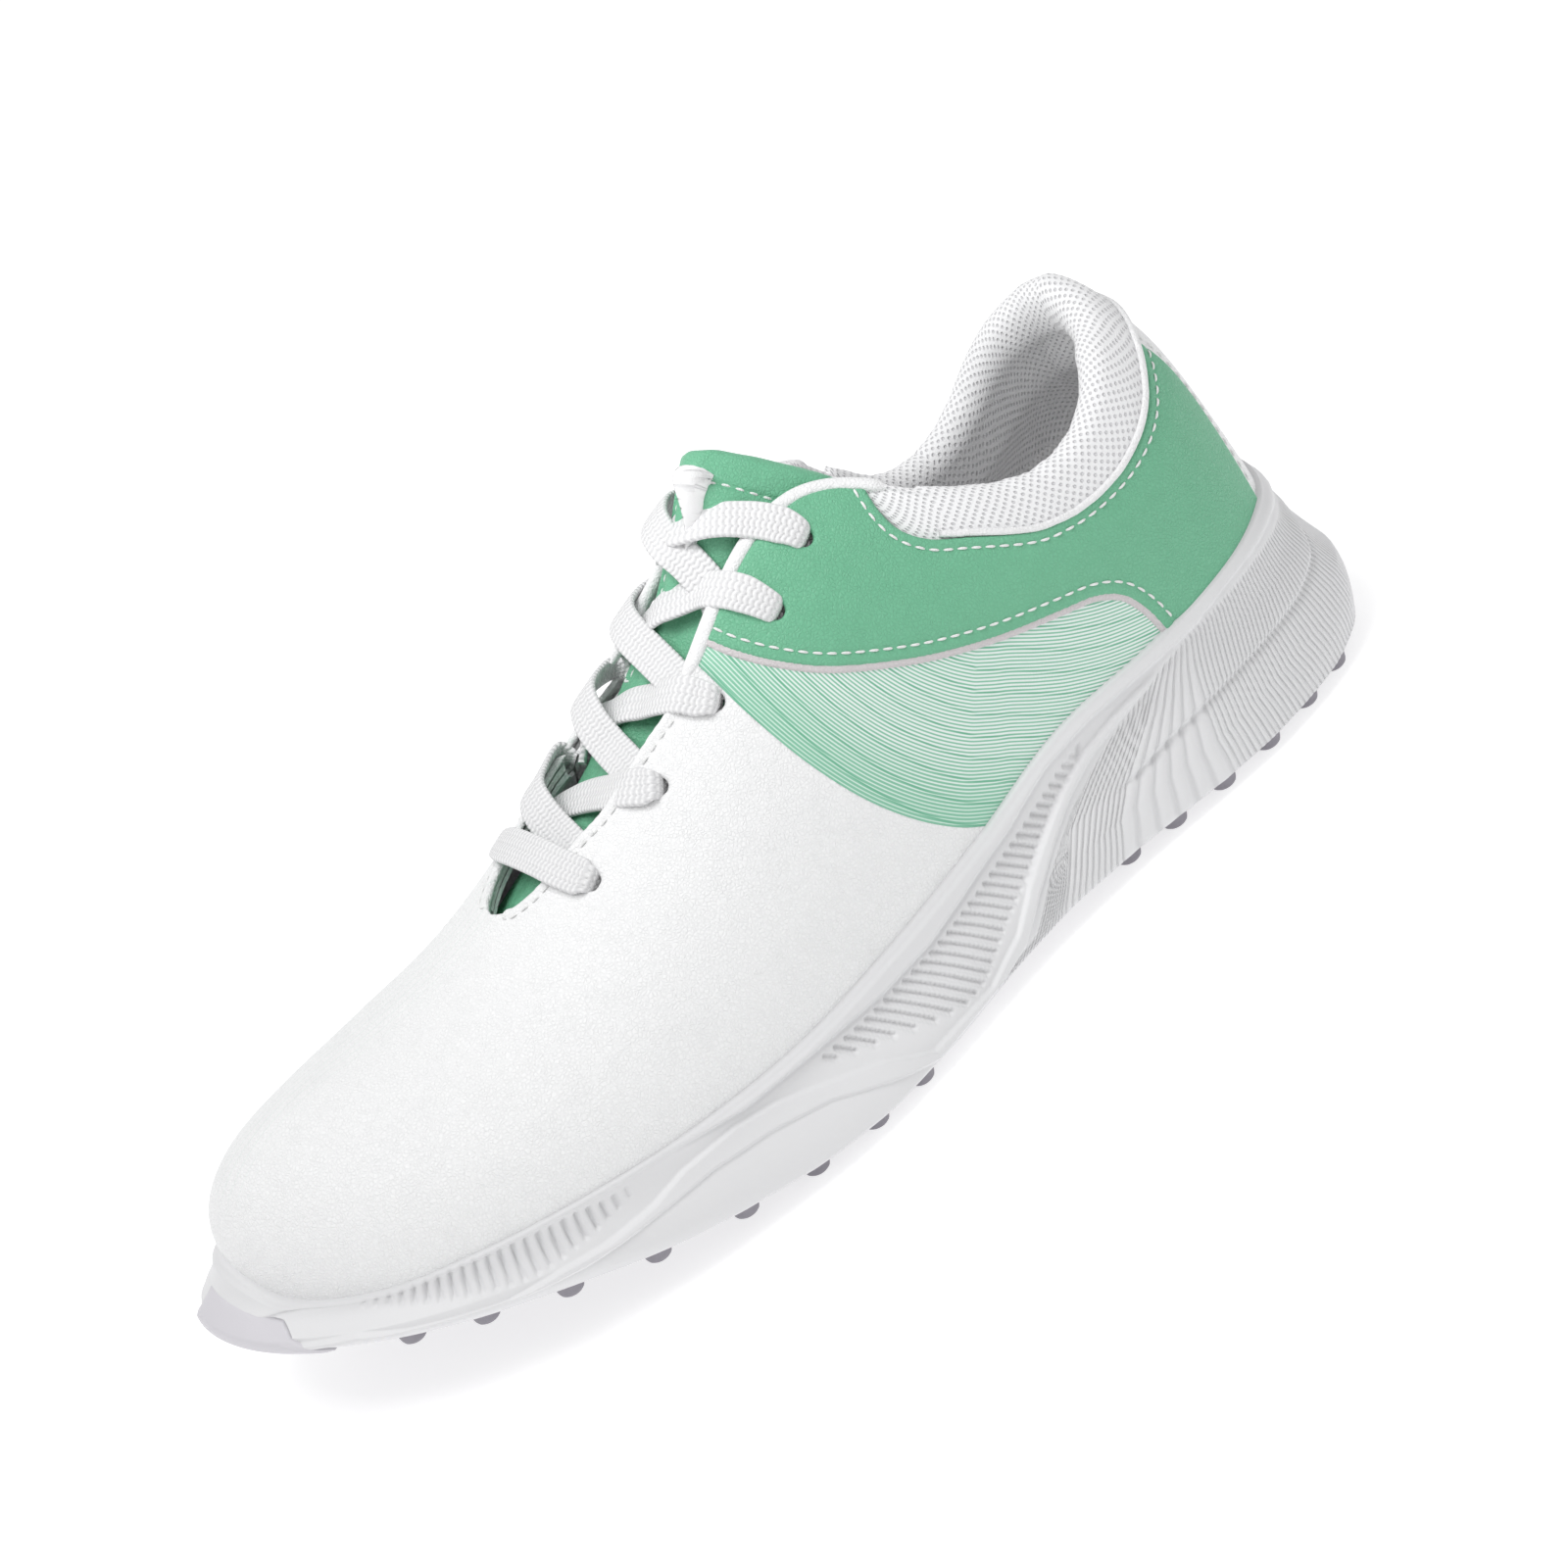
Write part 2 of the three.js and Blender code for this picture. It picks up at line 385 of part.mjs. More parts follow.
// ---- lace: criss-cross over the tongue, from under one flap to over the other
const key = (k, side) => (side < 0 ? eyeletPts[k].lat : eyeletPts[k].med);
function edgePoint(k, side, depth) { // on the throat edge level with eyelet k
  const [t, v] = key(k, side), p = surf(t, v), s = HALF - p.x;
  const w = lerpTable([...THROAT].reverse(), s);
  const [te, ve] = paramAt(p.x, instepY(s) + side * (w + 0.2));
  return { p: at(te, ve, depth), n: outward(te, ve) };
}
function crossing(k, side) { // from eyelet k on one side to eyelet k+1 on the other
  const [ta, va] = key(k, side), [tb, vb] = key(k + 1, -side);
  const under = LINING[1] + 0.3 + LACE_T / 2, over = -(0.35 + LACE_T / 2);
  const eA = edgePoint(k, side, under), eB = edgePoint(k + 1, -side, over);
  const a = { p: at(ta, va, under), up: outward(ta, va), w: 5 }, b = { p: at(tb, vb, over), up: outward(tb, vb), w: 5 };
  const sM = HALF - (eA.p.x + eB.p.x) / 2;
  const tm = columnAt(sx(sM), -1);
  const c = ring(COL, tm);
  const mid = new THREE.Vector3((eA.p.x + eB.p.x) / 2, (eA.p.y + eB.p.y) / 2, c[5] - TONGUE[0] + 2.6 + 0.6 + LACE_T / 2);
  const dirA = b.p.clone().sub(a.p).setZ(0).normalize();
  const pts = [a, { p: eA.p.clone().lerp(a.p, 0.15), up: eA.n }, { p: mid.clone().lerp(eA.p, 0.45).setZ(mid.z * 0.62 + eA.p.z * 0.38), up: new THREE.Vector3(0, 0, 1) },
    { p: mid, up: new THREE.Vector3(0, 0, 1) }, { p: mid.clone().lerp(eB.p, 0.5).add(new THREE.Vector3(0, 0, 0.8)), up: new THREE.Vector3(0, 0, 1) },
    { p: eB.p, up: eB.n }, b];
  return band(pts);
}
function stub(k, side) { // lace going down through the eyelet
  const [t, v] = key(k, side), n = outward(t, v);
  const c = new THREE.CylinderGeometry(2.5, 2.5, LINING[1] + 0.6 + LACE_T + 0.7, 8);
  c.applyQuaternion(new THREE.Quaternion().setFromUnitVectors(new THREE.Vector3(0, 1, 0), n));
  const p = at(t, v, (LINING[1] + 0.1) / 2);
  c.translate(p.x, p.y, p.z);
  return solid(c);
}
function bottomBar() {
  const [ta, va] = key(0, -1), [tb, vb] = key(0, 1), over = -(0.35 + LACE_T / 2);
  const eA = edgePoint(0, -1, over), eB = edgePoint(0, 1, over);
  const mid = eA.p.clone().lerp(eB.p, 0.5); mid.z = Math.max(eA.p.z, eB.p.z) + 1.5;
  return band([{ p: at(ta, va, over), up: outward(ta, va), w: 5 }, { p: eA.p, up: eA.n }, { p: mid, up: new THREE.Vector3(0, 0, 1) }, { p: eB.p, up: eB.n }, { p: at(tb, vb, over), up: outward(tb, vb), w: 5 }]);
}
let laceRaw = bottomBar();
for (let k = 0; k < 4; k++) for (const side of [-1, 1]) laceRaw = laceRaw.add(crossing(k, side));
for (let k = 0; k < 5; k++) for (const side of [-1, 1]) laceRaw = laceRaw.add(stub(k, side));
const flapBlock = lastBody(-0.3, below(3)).subtract(lastBody(LINING[1] + 0.3, below(12))).subtract(planPrism(throatPts(-0.35), 40, 160)).subtract(holeTool(HOLE_R - 0.3));
const tongueBlock = tongueSolid([213, ...tongueS.slice(1)], TONGUE[0] - 0.35, TONGUE[3] + 0.5, (s) => widthOf(s) * 1.04);
const lace = largest(laceRaw.subtract(flapBlock).subtract(tongueBlock));

// ---- sole
const WN = 44;
function wallPoint(t, f, out) { // f from 0 (top, at the feather line) to 1 (bottom edge)
  const c = ring(COL, t), w = ring(WIDE, t);
  const top = new THREE.Vector3(c[0], c[1], c[2]), wide = new THREE.Vector3(w[0], w[1], w[2]);
  const ctr = new THREE.Vector3(Math.max(-95, Math.min(110, c[0])), 1, 0);
  const o = wide.clone().sub(ctr).setZ(0).normalize();
  top.addScaledVector(o, 1.6);
  const low = wide.clone().addScaledVector(o, lerpTable(LOW_OUT, HALF - wide.x) * (0.75 - 0.25 * o.y)); low.z = under(HALF - low.x);
  let p;
  if (f <= 0.5) { const k = f / 0.5; p = top.clone().lerp(wide, k); p.addScaledVector(o, -1.2 * Math.sin(Math.PI * k)); } else {
    const k = (f - 0.5) / 0.5; p = wide.clone().lerp(low, k); p.addScaledVector(o, 0.9 * Math.sin(Math.PI * k));
  }
  return p.addScaledVector(o, out || 0);
}
function soleBody() {
  const rows = [];
  const FS = [0, 0.25, 0.5, 0.75, 1];
  for (const f of FS) { const row = []; for (let i = 0; i < WN; i++) row.push(wallPoint((N * i) / WN, f)); rows.push(row); }
  const pts = rows.flat(), idx = [], n = WN;
  for (let r = 0; r < rows.length - 1; r++) for (let i = 0; i < n; i++) { const j = (i + 1) % n; idx.push(r * n + i, (r + 1) * n + i, (r + 1) * n + j, r * n + i, (r + 1) * n + j, r * n + j); }
  for (const [r, flip] of [[0, false], [rows.length - 1, true]]) for (let i = 0; i < n / 2; i++) {
    const a = r * n + i, b = r * n + i + 1, c = r * n + ((n - i - 1) % n), d = r * n + ((n - i) % n);
    if (i > 0) { if (flip) idx.push(a, d, b); else idx.push(a, b, d); }
    if (b !== c) { if (flip) idx.push(b, d, c); else idx.push(b, c, d); }
  }
  const g = new THREE.BufferGeometry();
  g.setAttribute('position', new THREE.BufferAttribute(new Float32Array(pts.flatMap((p) => [p.x, p.y, p.z])), 3));
  g.setIndex(idx);
  return solid(g);
}
const plateOutline = (inset) => { const out = []; for (let i = 0; i < 34; i++) { const p = wallPoint((N * i) / 34, 1); const w = ring(WIDE, (N * i) / 34); const o = new THREE.Vector3(w[0] - Math.max(-95, Math.min(110, w[0])), w[1] - 1, 0).normalize(); p.addScaledVector(o, -inset); out.push([HALF - p.x, p.y]); } return out; };
const underSlab = (d0, d1) => sidePrism([...UNDER.map(([s, z]) => [s, z + d0]), ...[...UNDER].reverse().map(([s, z]) => [s, z + d1])]);
const platePrism = planPrism(plateOutline(1.5)), platePrismBig = planPrism(plateOutline(1.2));
let outsole = underSlab(-0.3, PLATE - 0.3).intersect(platePrism);
let midsole = soleBody().subtract(underSlab(-20, PLATE).intersect(platePrismBig));
midsole = midsole.subtract(lastBody(-GAP, bed));
// rubber toe wrap: a thin strip up the front of the toe, joined to the plate
{
  const rows = [];
  for (let i = 0; i <= 10; i++) {
    const t = 12.55 + (2.25 * i) / 10, edge = Math.min(1, Math.sin((Math.PI * i) / 10) * 1.6 + 0.1);
    const fTop = 1 - 0.75 * edge;
    const ring0 = [];
    for (const f of [1, 0.9, 0.78, 0.66, 0.5]) { const ff = Math.max(f, fTop); ring0.push(wallPoint(t, ff, 1.9)); }
    const inner = [];
    for (const f of [0.5, 0.66, 0.78, 0.9, 1]) { const ff = Math.max(f, fTop); inner.push(wallPoint(t, ff, 0.32)); }
    const lowOut = wallPoint(t, 1, -3.2); lowOut.z -= 0.1; const lowIn = wallPoint(t, 1, -3.2); lowIn.z -= 1.5;
    const bo = wallPoint(t, 1, 1.4); bo.z -= 1.4;
    const bi = wallPoint(t, 1, 0.2); bi.z -= 0.32;
    rows.push([...ring0.reverse(), bo, lowIn, lowOut.setZ(wallPoint(t, 1, 0).z - 0.32), bi, ...inner.reverse().slice(0, 0), ...[1, 0.9, 0.78, 0.66, 0.5].map((f) => wallPoint(t, Math.max(f, fTop), 0.32))]);
  }
  const wrap = solid(gridSolid(rows, false));
  outsole = outsole.add(wrap.subtract(soleBody()));
}
const wideRing = [];
for (let i = 0; i < 270; i++) { const w = ring(WIDE, i / 10); wideRing.push([HALF - w[0], w[1]]); }
const wideY = (s, side) => { let best = 0, d = 1e9; for (const [a, y] of wideRing) if (side * y > 3 && Math.abs(a - s) < d) { d = Math.abs(a - s); best = y; } return best; };
const lugs = [...LUG_LAT.map((s) => [s, wideY(s, -1) + lerpTable(LUG_IN, s)]), ...LUG_MED.map((s) => [s, wideY(s, 1) - lerpTable(LUG_IN, s) - 2.2]), ...LUG_MID];
for (const [s, y] of lugs) {
  const zTop = under(s) + 0.4, tip = under(s) < 5.9 ? 0 : under(s) - 0.3 - LUG_H;
  const c = new THREE.CylinderGeometry(3.8, 3.0, zTop - tip, 6);
  c.rotateX(Math.PI / 2);
  c.translate(sx(s), y, (zTop + tip) / 2);
  outsole = outsole.add(solid(c));
}
outsole = outsole.subtract(midsole.translate([0, 0, -GAP]));
outsole = largest(outsole.subtract(sidePrism([[-20, -40], [330, -40], [330, 0], [-20, 0]])));
const strobel = lastBody(0.3, below(8)).intersect(sidePrism([...BED.map(([s, z]) => [s, z + 0.4]), ...[...BED].reverse().map(([s, z]) => [s, z + 1.6])]));
const insert = lastBody(LINING[1] + 0.9, below(8)).intersect(sidePrism([...BED.map(([s, z]) => [s, z + 2.1]), ...[...BED].reverse().map(([s, z]) => [s, z + 6.4])]));

// ---------------------------------------------------------------- assembly
const group = new THREE.Group();
function put(name, m, color, roughness, metalness = 0) {
  const mesh = new THREE.Mesh(geometryOf(largest(m)).translate(0, SHIFT_Y, 0), new THREE.MeshStandardMaterial({ color, roughness, metalness }));
  mesh.name = name;
  group.add(mesh);
}
put('outsole', outsole, '#8e8a90', 0.6);
put('midsole', midsole, '#eeeeee', 0.55);
put('strobel_board', strobel, '#d8d2c6', 0.9);
put('sockliner', insert, '#e6e6e6', 0.85);
put('vamp', vamp, '#f1f1f1', 0.45);
put('quarter_lateral', quarters.intersect(latHalf), '#e3efe8', 0.45);
put('quarter_medial', quarters.intersect(medHalf), '#e3efe8', 0.45);
put('overlay_lateral', overlays.intersect(latHalf), '#6db08c', 0.45);
put('overlay_medial', overlays.intersect(medHalf), '#6db08c', 0.45);
put('back_stay', backStay, '#f1f1f1', 0.45);
put('heel_counter', stiff.intersect(counterRegion), '#cfc9bd', 0.7);
put('toe_puff', stiff.intersect(puffRegion), '#cfc9bd', 0.7);
put('eyestay_lateral', stiff.intersect(stayRegion(-1)), '#dddddd', 0.7);
put('eyestay_medial', stiff.intersect(stayRegion(1)), '#dddddd', 0.7);
put('vamp_lining', vampLining, '#e9e9e9', 0.9);
put('quarter_lining', quarterLining, '#e9e9e9', 0.9);
put('collar_pad', collarPad, '#f0f0f0', 0.9);
put('tongue_face', tongueOuter, '#6db08c', 0.45);
put('tongue_foam', tongueFoam, '#d9d9d2', 0.9);
put('tongue_lining', tongueLining, '#f0f0f0', 0.9);
put('lace', lace, '#ececec', 0.85);

export default group;
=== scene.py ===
"""Golf shoe, left foot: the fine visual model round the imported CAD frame."""
import bpy, math
import numpy as np
from mathutils import Vector, Matrix, kdtree


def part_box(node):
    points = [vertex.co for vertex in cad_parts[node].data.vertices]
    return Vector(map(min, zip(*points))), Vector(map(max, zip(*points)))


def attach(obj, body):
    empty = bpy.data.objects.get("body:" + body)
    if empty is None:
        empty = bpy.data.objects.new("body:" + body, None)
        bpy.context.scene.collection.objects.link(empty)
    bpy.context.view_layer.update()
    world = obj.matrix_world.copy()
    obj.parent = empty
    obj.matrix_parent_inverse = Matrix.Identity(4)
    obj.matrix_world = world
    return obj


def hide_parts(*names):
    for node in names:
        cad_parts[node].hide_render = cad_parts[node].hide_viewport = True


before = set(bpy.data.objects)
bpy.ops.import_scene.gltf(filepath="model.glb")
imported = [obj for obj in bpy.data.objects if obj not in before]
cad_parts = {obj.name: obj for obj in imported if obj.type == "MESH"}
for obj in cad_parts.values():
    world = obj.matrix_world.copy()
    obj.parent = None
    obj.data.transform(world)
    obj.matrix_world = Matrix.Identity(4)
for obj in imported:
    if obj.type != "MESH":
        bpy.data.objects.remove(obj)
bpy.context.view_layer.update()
SHIFT = 3.45          # mm, the frame's y of the shoe's design centre line
N, HALF = 27, 150.0

# ------------------------------------------------------------------ design tables (mm)
COL = np.array([
    [140.5, 0.0, 41.0, 114.4, -1.414, 96.9, 0.161, 0.728, 0.788], [138.5, -12.0, 40.9, 113.4, -1.361, 96.9, 0.148, 0.734, 0.786],
    [131.0, -23.5, 40.5, 109.4, -1.146, 96.7, 0.101, 0.757, 0.776], [115.0, -31.5, 38.4, 100.0, -0.643, 96.4, 0.001, 0.805, 0.756],
    [90.0, -34.5, 35.9, 82.0, 0.321, 98.7, -0.026, 0.732, 0.63], [60.0, -35.0, 34.5, 58.0, 1.575, 106.7, -0.02, 0.6, 0.45],
    [30.0, -37.0, 27.5, 30.0, 2.625, 111.0, -0.012, 0.525, 0.413], [0.0, -42.0, 24.3, 0.0, 3.5, 96.0, -0.02, 0.51, 0.425],
    [-30.0, -47.0, 23.4, -30.0, 4.125, 78.4, -0.035, 0.53, 0.462], [-60.0, -49.0, 25.5, -58.0, 4.475, 65.2, -0.05, 0.56, 0.5],
    [-86.0, -46.5, 28.1, -79.0, 5.767, 60.8, -0.056, 0.586, 0.539], [-109.0, -38.0, 29.3, -95.0, 6.969, 59.4, -0.06, 0.604, 0.569],
    [-126.5, -24.0, 28.8, -103.0, 7.719, 59.6, -0.06, 0.613, 0.586], [-138.0, -5.0, 30.5, -106.0, 8.0, 59.6, -0.06, 0.618, 0.596],
    [-139.5, 12.0, 38.0, -106.0, 8.0, 59.6, -0.04, 0.619, 0.598], [-130.5, 27.0, 35.5, -103.0, 7.719, 59.6, -0.06, 0.615, 0.59],
    [-113.0, 38.5, 31.0, -95.0, 6.969, 59.4, -0.06, 0.606, 0.573], [-90.0, 44.5, 28.6, -79.0, 5.767, 60.8, -0.058, 0.59, 0.545],
    [-62.0, 46.2, 25.7, -58.0, 4.475, 65.2, -0.05, 0.562, 0.503], [-32.0, 43.0, 23.5, -30.0, 4.125, 78.4, -0.036, 0.532, 0.465],
    [-2.0, 36.5, 24.2, 0.0, 3.5, 96.0, -0.021, 0.511, 0.428], [28.0, 32.2, 27.3, 30.0, 2.625, 111.0, -0.012, 0.52, 0.41],
    [58.0, 31.2, 34.1, 58.0, 1.575, 106.7, -0.02, 0.595, 0.448], [88.0, 32.2, 35.9, 82.0, 0.321, 98.7, -0.026, 0.723, 0.618],
    [113.0, 31.3, 38.1, 100.0, -0.643, 96.4, -0.011, 0.811, 0.754], [130.0, 24.5, 40.5, 109.4, -1.146, 96.7, 0.095, 0.76, 0.775],
    [138.2, 12.5, 40.9, 113.4, -1.361, 96.9, 0.146, 0.735, 0.785]])
WIDE = np.array([
    [150, -1, 16], [147, -16, 16], [137, -29, 16], [117, -36.5, 16], [90, -39.5, 17], [60, -40.5, 17], [31, -43.5, 15], [1, -49, 13],
    [-30, -54, 13], [-60, -55, 15], [-87, -51.5, 18.5], [-112, -42.5, 22], [-132, -28, 25], [-145, -9, 27.5],
    [-147.5, 10, 29], [-142, 27, 28], [-125, 40.5, 24], [-98, 47.5, 19.5], [-68, 50.5, 15.5], [-36, 49, 13], [-6, 43, 13], [26, 37.5, 15],
    [57, 35.5, 17], [88, 36.5, 17], [115, 36, 16], [136, 29, 16], [147, 15, 16]], float)
UNDER = [[-2, 9.5], [4, 6.8], [12, 4.8], [25, 3.7], [64, 3.7], [110, 5.4], [150, 3.7], [175, 4.0], [194, 5.3], [211, 7.5], [237, 12.2], [255, 16.2], [277, 20.3], [302, 25]]
BED = [[-5, 28.5], [30, 27.5], [75, 24.5], [105, 21], [140, 17], [175, 15], [205, 15.6], [240, 20], [270, 24.2], [305, 28]]
LOW_OUT = [[-2, -2], [5, -1.5], [14, 0.3], [26, 2.0], [50, 4.2], [70, 3.5], [90, 3], [131, 3], [152, 4.3], [170, 5.3], [188, 4.4], [207, 2], [225, 1], [243, -1], [274, -1.2], [288, -1.2], [302, -1.5]]
LUG_IN = [[21, 3.6], [34, 2.6], [50, 0.8], [61, 1.0], [76, 2.2], [90, 3.8], [163, 0.4], [175, 1.2], [190, 3.8], [207, 3.8], [228, 5.3], [245, 6.7], [262, 8], [280, 9]]
COLLAR = [[-20, 92], [8, 93], [16, 94.5], [24, 94], [32, 91], [40, 86.5], [48, 82.6], [55, 81], [62, 81.2], [70, 84], [78, 88.5], [85, 93.5], [91, 98.5], [94.5, 102], [99, 105], [105, 107.5], [112, 108.5], [120, 111], [128, 118], [140, 140]]
GREEN_TOP = [[-20, 87], [16, 88.5], [21.7, 85.6], [25.1, 82.2], [31.1, 77.4], [38.3, 73.8], [46.6, 71.4], [56.4, 70.6], [64.7, 71.5], [71.5, 73.6], [83.2, 80.3], [89.6, 84.1], [93.4, 88.7], [94.2, 93.7], [93.0, 99]]
GREEN_LOW = [[141.5, 140], [140.5, 93.6], [137.9, 89.4], [132.7, 83.7], [124.7, 77.1], [112.9, 70.1], [102.8, 65.1], [89.3, 59.9], [75.6, 56], [67.1, 53.5], [61.5, 49.6], [58.3, 43.7], [56.5, 37.2], [56.5, 5]]
PRINT_FRONT = [[146.5, 140], [145, 92.1], [144.4, 80.1], [141.7, 67], [136.5, 53.9], [129.3, 42.5], [121.4, 33.7], [114.6, 28.6], [108, 24.5]]
THROAT = [[206, 0], [205, 3.2], [202, 6.2], [197, 9], [185, 12.3], [178, 14.5], [164, 15.8], [153, 17], [144, 16.4], [138, 15.6], [122, 13.6], [112, 12.4], [104, 12], [96, 14], [86, 20]]
EYELETS = [[190.2, -18.6], [167.6, -20.6], [147.5, -21.3], [125.9, -21.3], [111.0, -17.6]]
LUG_LAT = [276, 263, 247, 229, 209, 191, 175, 161, 90, 77, 63, 49, 35, 23]
LUG_MED = [277, 264, 248, 229, 209, 191, 174, 88, 74, 60, 46, 32]
LUG_MID = [[262, 2], [240, -14], [240, 20], [218, 2], [200, -20], [200, 20], [180, 0], [166, -20], [14, 0], [34, 0], [56, 0], [80, 0]]
INSTEP = [[36, -1.4], [50, -0.64], [68, 0.32], [92, 1.58], [120, 2.63], [150, 3.5], [180, 4.13], [208, 4.48], [229, 5.77], [245, 6.97], [256, 8]]


for i_, dx, dy in ((13, -1.6, 0.2), (14, -3.6, 1.2), (15, -3.4, 1.8), (16, -1.6, 1.2)):
    WIDE[i_, 0] += dx; WIDE[i_, 1] += dy; COL[i_, 0] += dx * 0.65; COL[i_, 1] += dy * 0.65


def smooth_curve(pts, per=8):
    """Catmull-Rom through 2D points, so that edges drawn with few points stay round."""
    p = np.array(pts, float); out = []
    q = np.vstack([2 * p[0] - p[1], p, 2 * p[-1] - p[-2]])
    for i in range(len(p) - 1):
        a, b, c, d = q[i:i + 4]
        for f in np.arange(per) / per:
            out.append(0.5 * (2 * b + (c - a) * f + (2 * a - 5 * b + 4 * c - d) * f * f + (3 * b - a - 3 * c + d) * f ** 3))
    out.append(p[-1])
    return np.array(out)


def tab(t, x):
    t = np.array(t, float)
    return np.interp(x, t[:, 0], t[:, 1])


def sst(a, b, x):
    k = np.clip((np.asarray(x, float) - a) / (b - a), 0, 1)
    return k * k * (3 - 2 * k)


def ring(C, t):
    t = np.asarray(t, float); i = np.floor(t).astype(int); f = (t - i)[..., None]; n = len(C)
    p0, p1, p2, p3 = C[(i - 1) % n], C[i % n], C[(i + 1) % n], C[(i + 2) % n]
    return 0.5 * ((2 * p1) + (-p0 + p2) * f + (2 * p0 - 5 * p1 + 4 * p2 - p3) * f * f + (-p0 + 3 * p1 - 3 * p2 + p3) * f ** 3)


def surf(t, v):
    t, v = np.broadcast_arrays(np.asarray(t, float), np.asarray(v, float))
    c = ring(COL, t)
    b, h, k = c[..., 6], c[..., 7], c[..., 8]
    a1, a2, a3 = 3 * v * (1 - v) ** 2, 3 * v * v * (1 - v), v ** 3
    u = a1 * b + a2 * (1 - k) + a3; w = a1 * h + a2 + a3
    return np.stack([c[..., 0] + (c[..., 3] - c[..., 0]) * u, c[..., 1] + (c[..., 4] - c[..., 1]) * u, c[..., 2] + (c[..., 5] - c[..., 2]) * w], -1)


def unit(a):
    return a / np.maximum(np.linalg.norm(a, axis=-1, keepdims=True), 1e-9)


def outward(t, v):
    t, v = np.broadcast_arrays(np.asarray(t, float), np.asarray(v, float))
    e = 1e-3; va = np.minimum(v, 0.97)
    n = unit(np.cross(surf(t, va + e) - surf(t, va - e), surf(t + e, va) - surf(t - e, va)))
    m = n.copy(); m[..., 1] = 0; m[..., 0] *= 0.6; m[..., 2] = np.abs(m[..., 2]) + 0.2
    k = sst(0.9, 1.0, v)[..., None]
    return unit(n * (1 - k) + unit(m) * k)


def at(t, v, d):
    return surf(t, v) - outward(t, v) * np.asarray(d, float)[..., None]


def instep_y(s):
    return tab(INSTEP, s)


def under(s):
    return tab(UNDER, s)


def wall(t, f, out=0.0):
    t, f = np.broadcast_arrays(np.asarray(t, float), np.asarray(f, float))
    c = ring(COL, t)[..., :3]; w = ring(WIDE, t)
    o = w - np.stack([np.clip(c[..., 0], -95, 110), np.ones_like(t), np.zeros_like(t)], -1)
    o[..., 2] = 0; o = unit(o)
    top = c + o * 1.6
    low = w + o * (tab(LOW_OUT, HALF - w[..., 0]) * (0.75 - 0.25 * o[..., 1]))[..., None]
    low[..., 2] = under(HALF - low[..., 0])
    k1 = np.clip(f / .5, 0, 1)[..., None]; k2 = np.clip((f - .5) / .5, 0, 1)[..., None]
    p1 = top + (w - top) * k1 - 1.2 * np.sin(np.pi * k1) * o
    p2 = w + (low - w) * k2 + 0.9 * np.sin(np.pi * k2) * o
    return np.where(f[..., None] <= .5, p1, p2) + o * np.asarray(out, float)[..., None], o


# ------------------------------------------------------------------ mesh helpers
def make(name, P, F, mat, body="upper", replaces=(), slot=None, uv=None, attrs=None, smooth=True, mats=None, fmat=None):
    """P in mm in the shoe's design frame; F an array of triangles or a list of polygons."""
    me = bpy.data.meshes.new(name)
    Q = (np.asarray(P, float) + [0, SHIFT, 0]) * 0.001
    if isinstance(F, np.ndarray):
        me.vertices.add(len(Q)); me.vertices.foreach_set("co", Q.ravel())
        k = F.shape[1]
        me.loops.add(F.size); me.loops.foreach_set("vertex_index", F.astype(np.int32).ravel())
        me.polygons.add(len(F)); me.polygons.foreach_set("loop_start", np.arange(0, F.size, k, dtype=np.int32))
        me.update(calc_edges=True)
    else:
        me.from_pydata(Q.tolist(), [], [list(map(int, f)) for f in F])
    if smooth:
        me.polygons.foreach_set("use_smooth", [True] * len(me.polygons))
    if uv is not None:
        lay = me.uv_layers.new(name="chart")
        idx = np.empty(len(me.loops), np.int32); me.loops.foreach_get("vertex_index", idx)
        lay.data.foreach_set("uv", np.asarray(uv, np.float32)[idx].ravel())
    for k, a in (attrs or {}).items():
        at_ = me.attributes.new(k, "FLOAT", "POINT"); at_.data.foreach_set("value", np.asarray(a, np.float32))
    me.validate()
    ob = bpy.data.objects.new(name, me); bpy.context.scene.collection.objects.link(ob)
    for m in (mats or [mat]):
        me.materials.append(m)
    if fmat is not None:
        me.polygons.foreach_set("material_index", np.asarray(fmat, np.int32))
    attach(ob, body)
    if replaces:
        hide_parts(*replaces)
    return ob


def grid_tris(nr, nc, wrap=False):
    """quads between nr rows and nc columns of points (row-major), split in two"""
    r, c = np.meshgrid(np.arange(nr - 1), np.arange(nc if wrap else nc - 1), indexing="ij")
    c2 = (c + 1) % nc
    a, b, d, e = r * nc + c, (r + 1) * nc + c, (r + 1) * nc + c2, r * nc + c2
    return np.concatenate([np.stack([a, b, d], -1).reshape(-1, 3), np.stack([a, d, e], -1).reshape(-1, 3)])


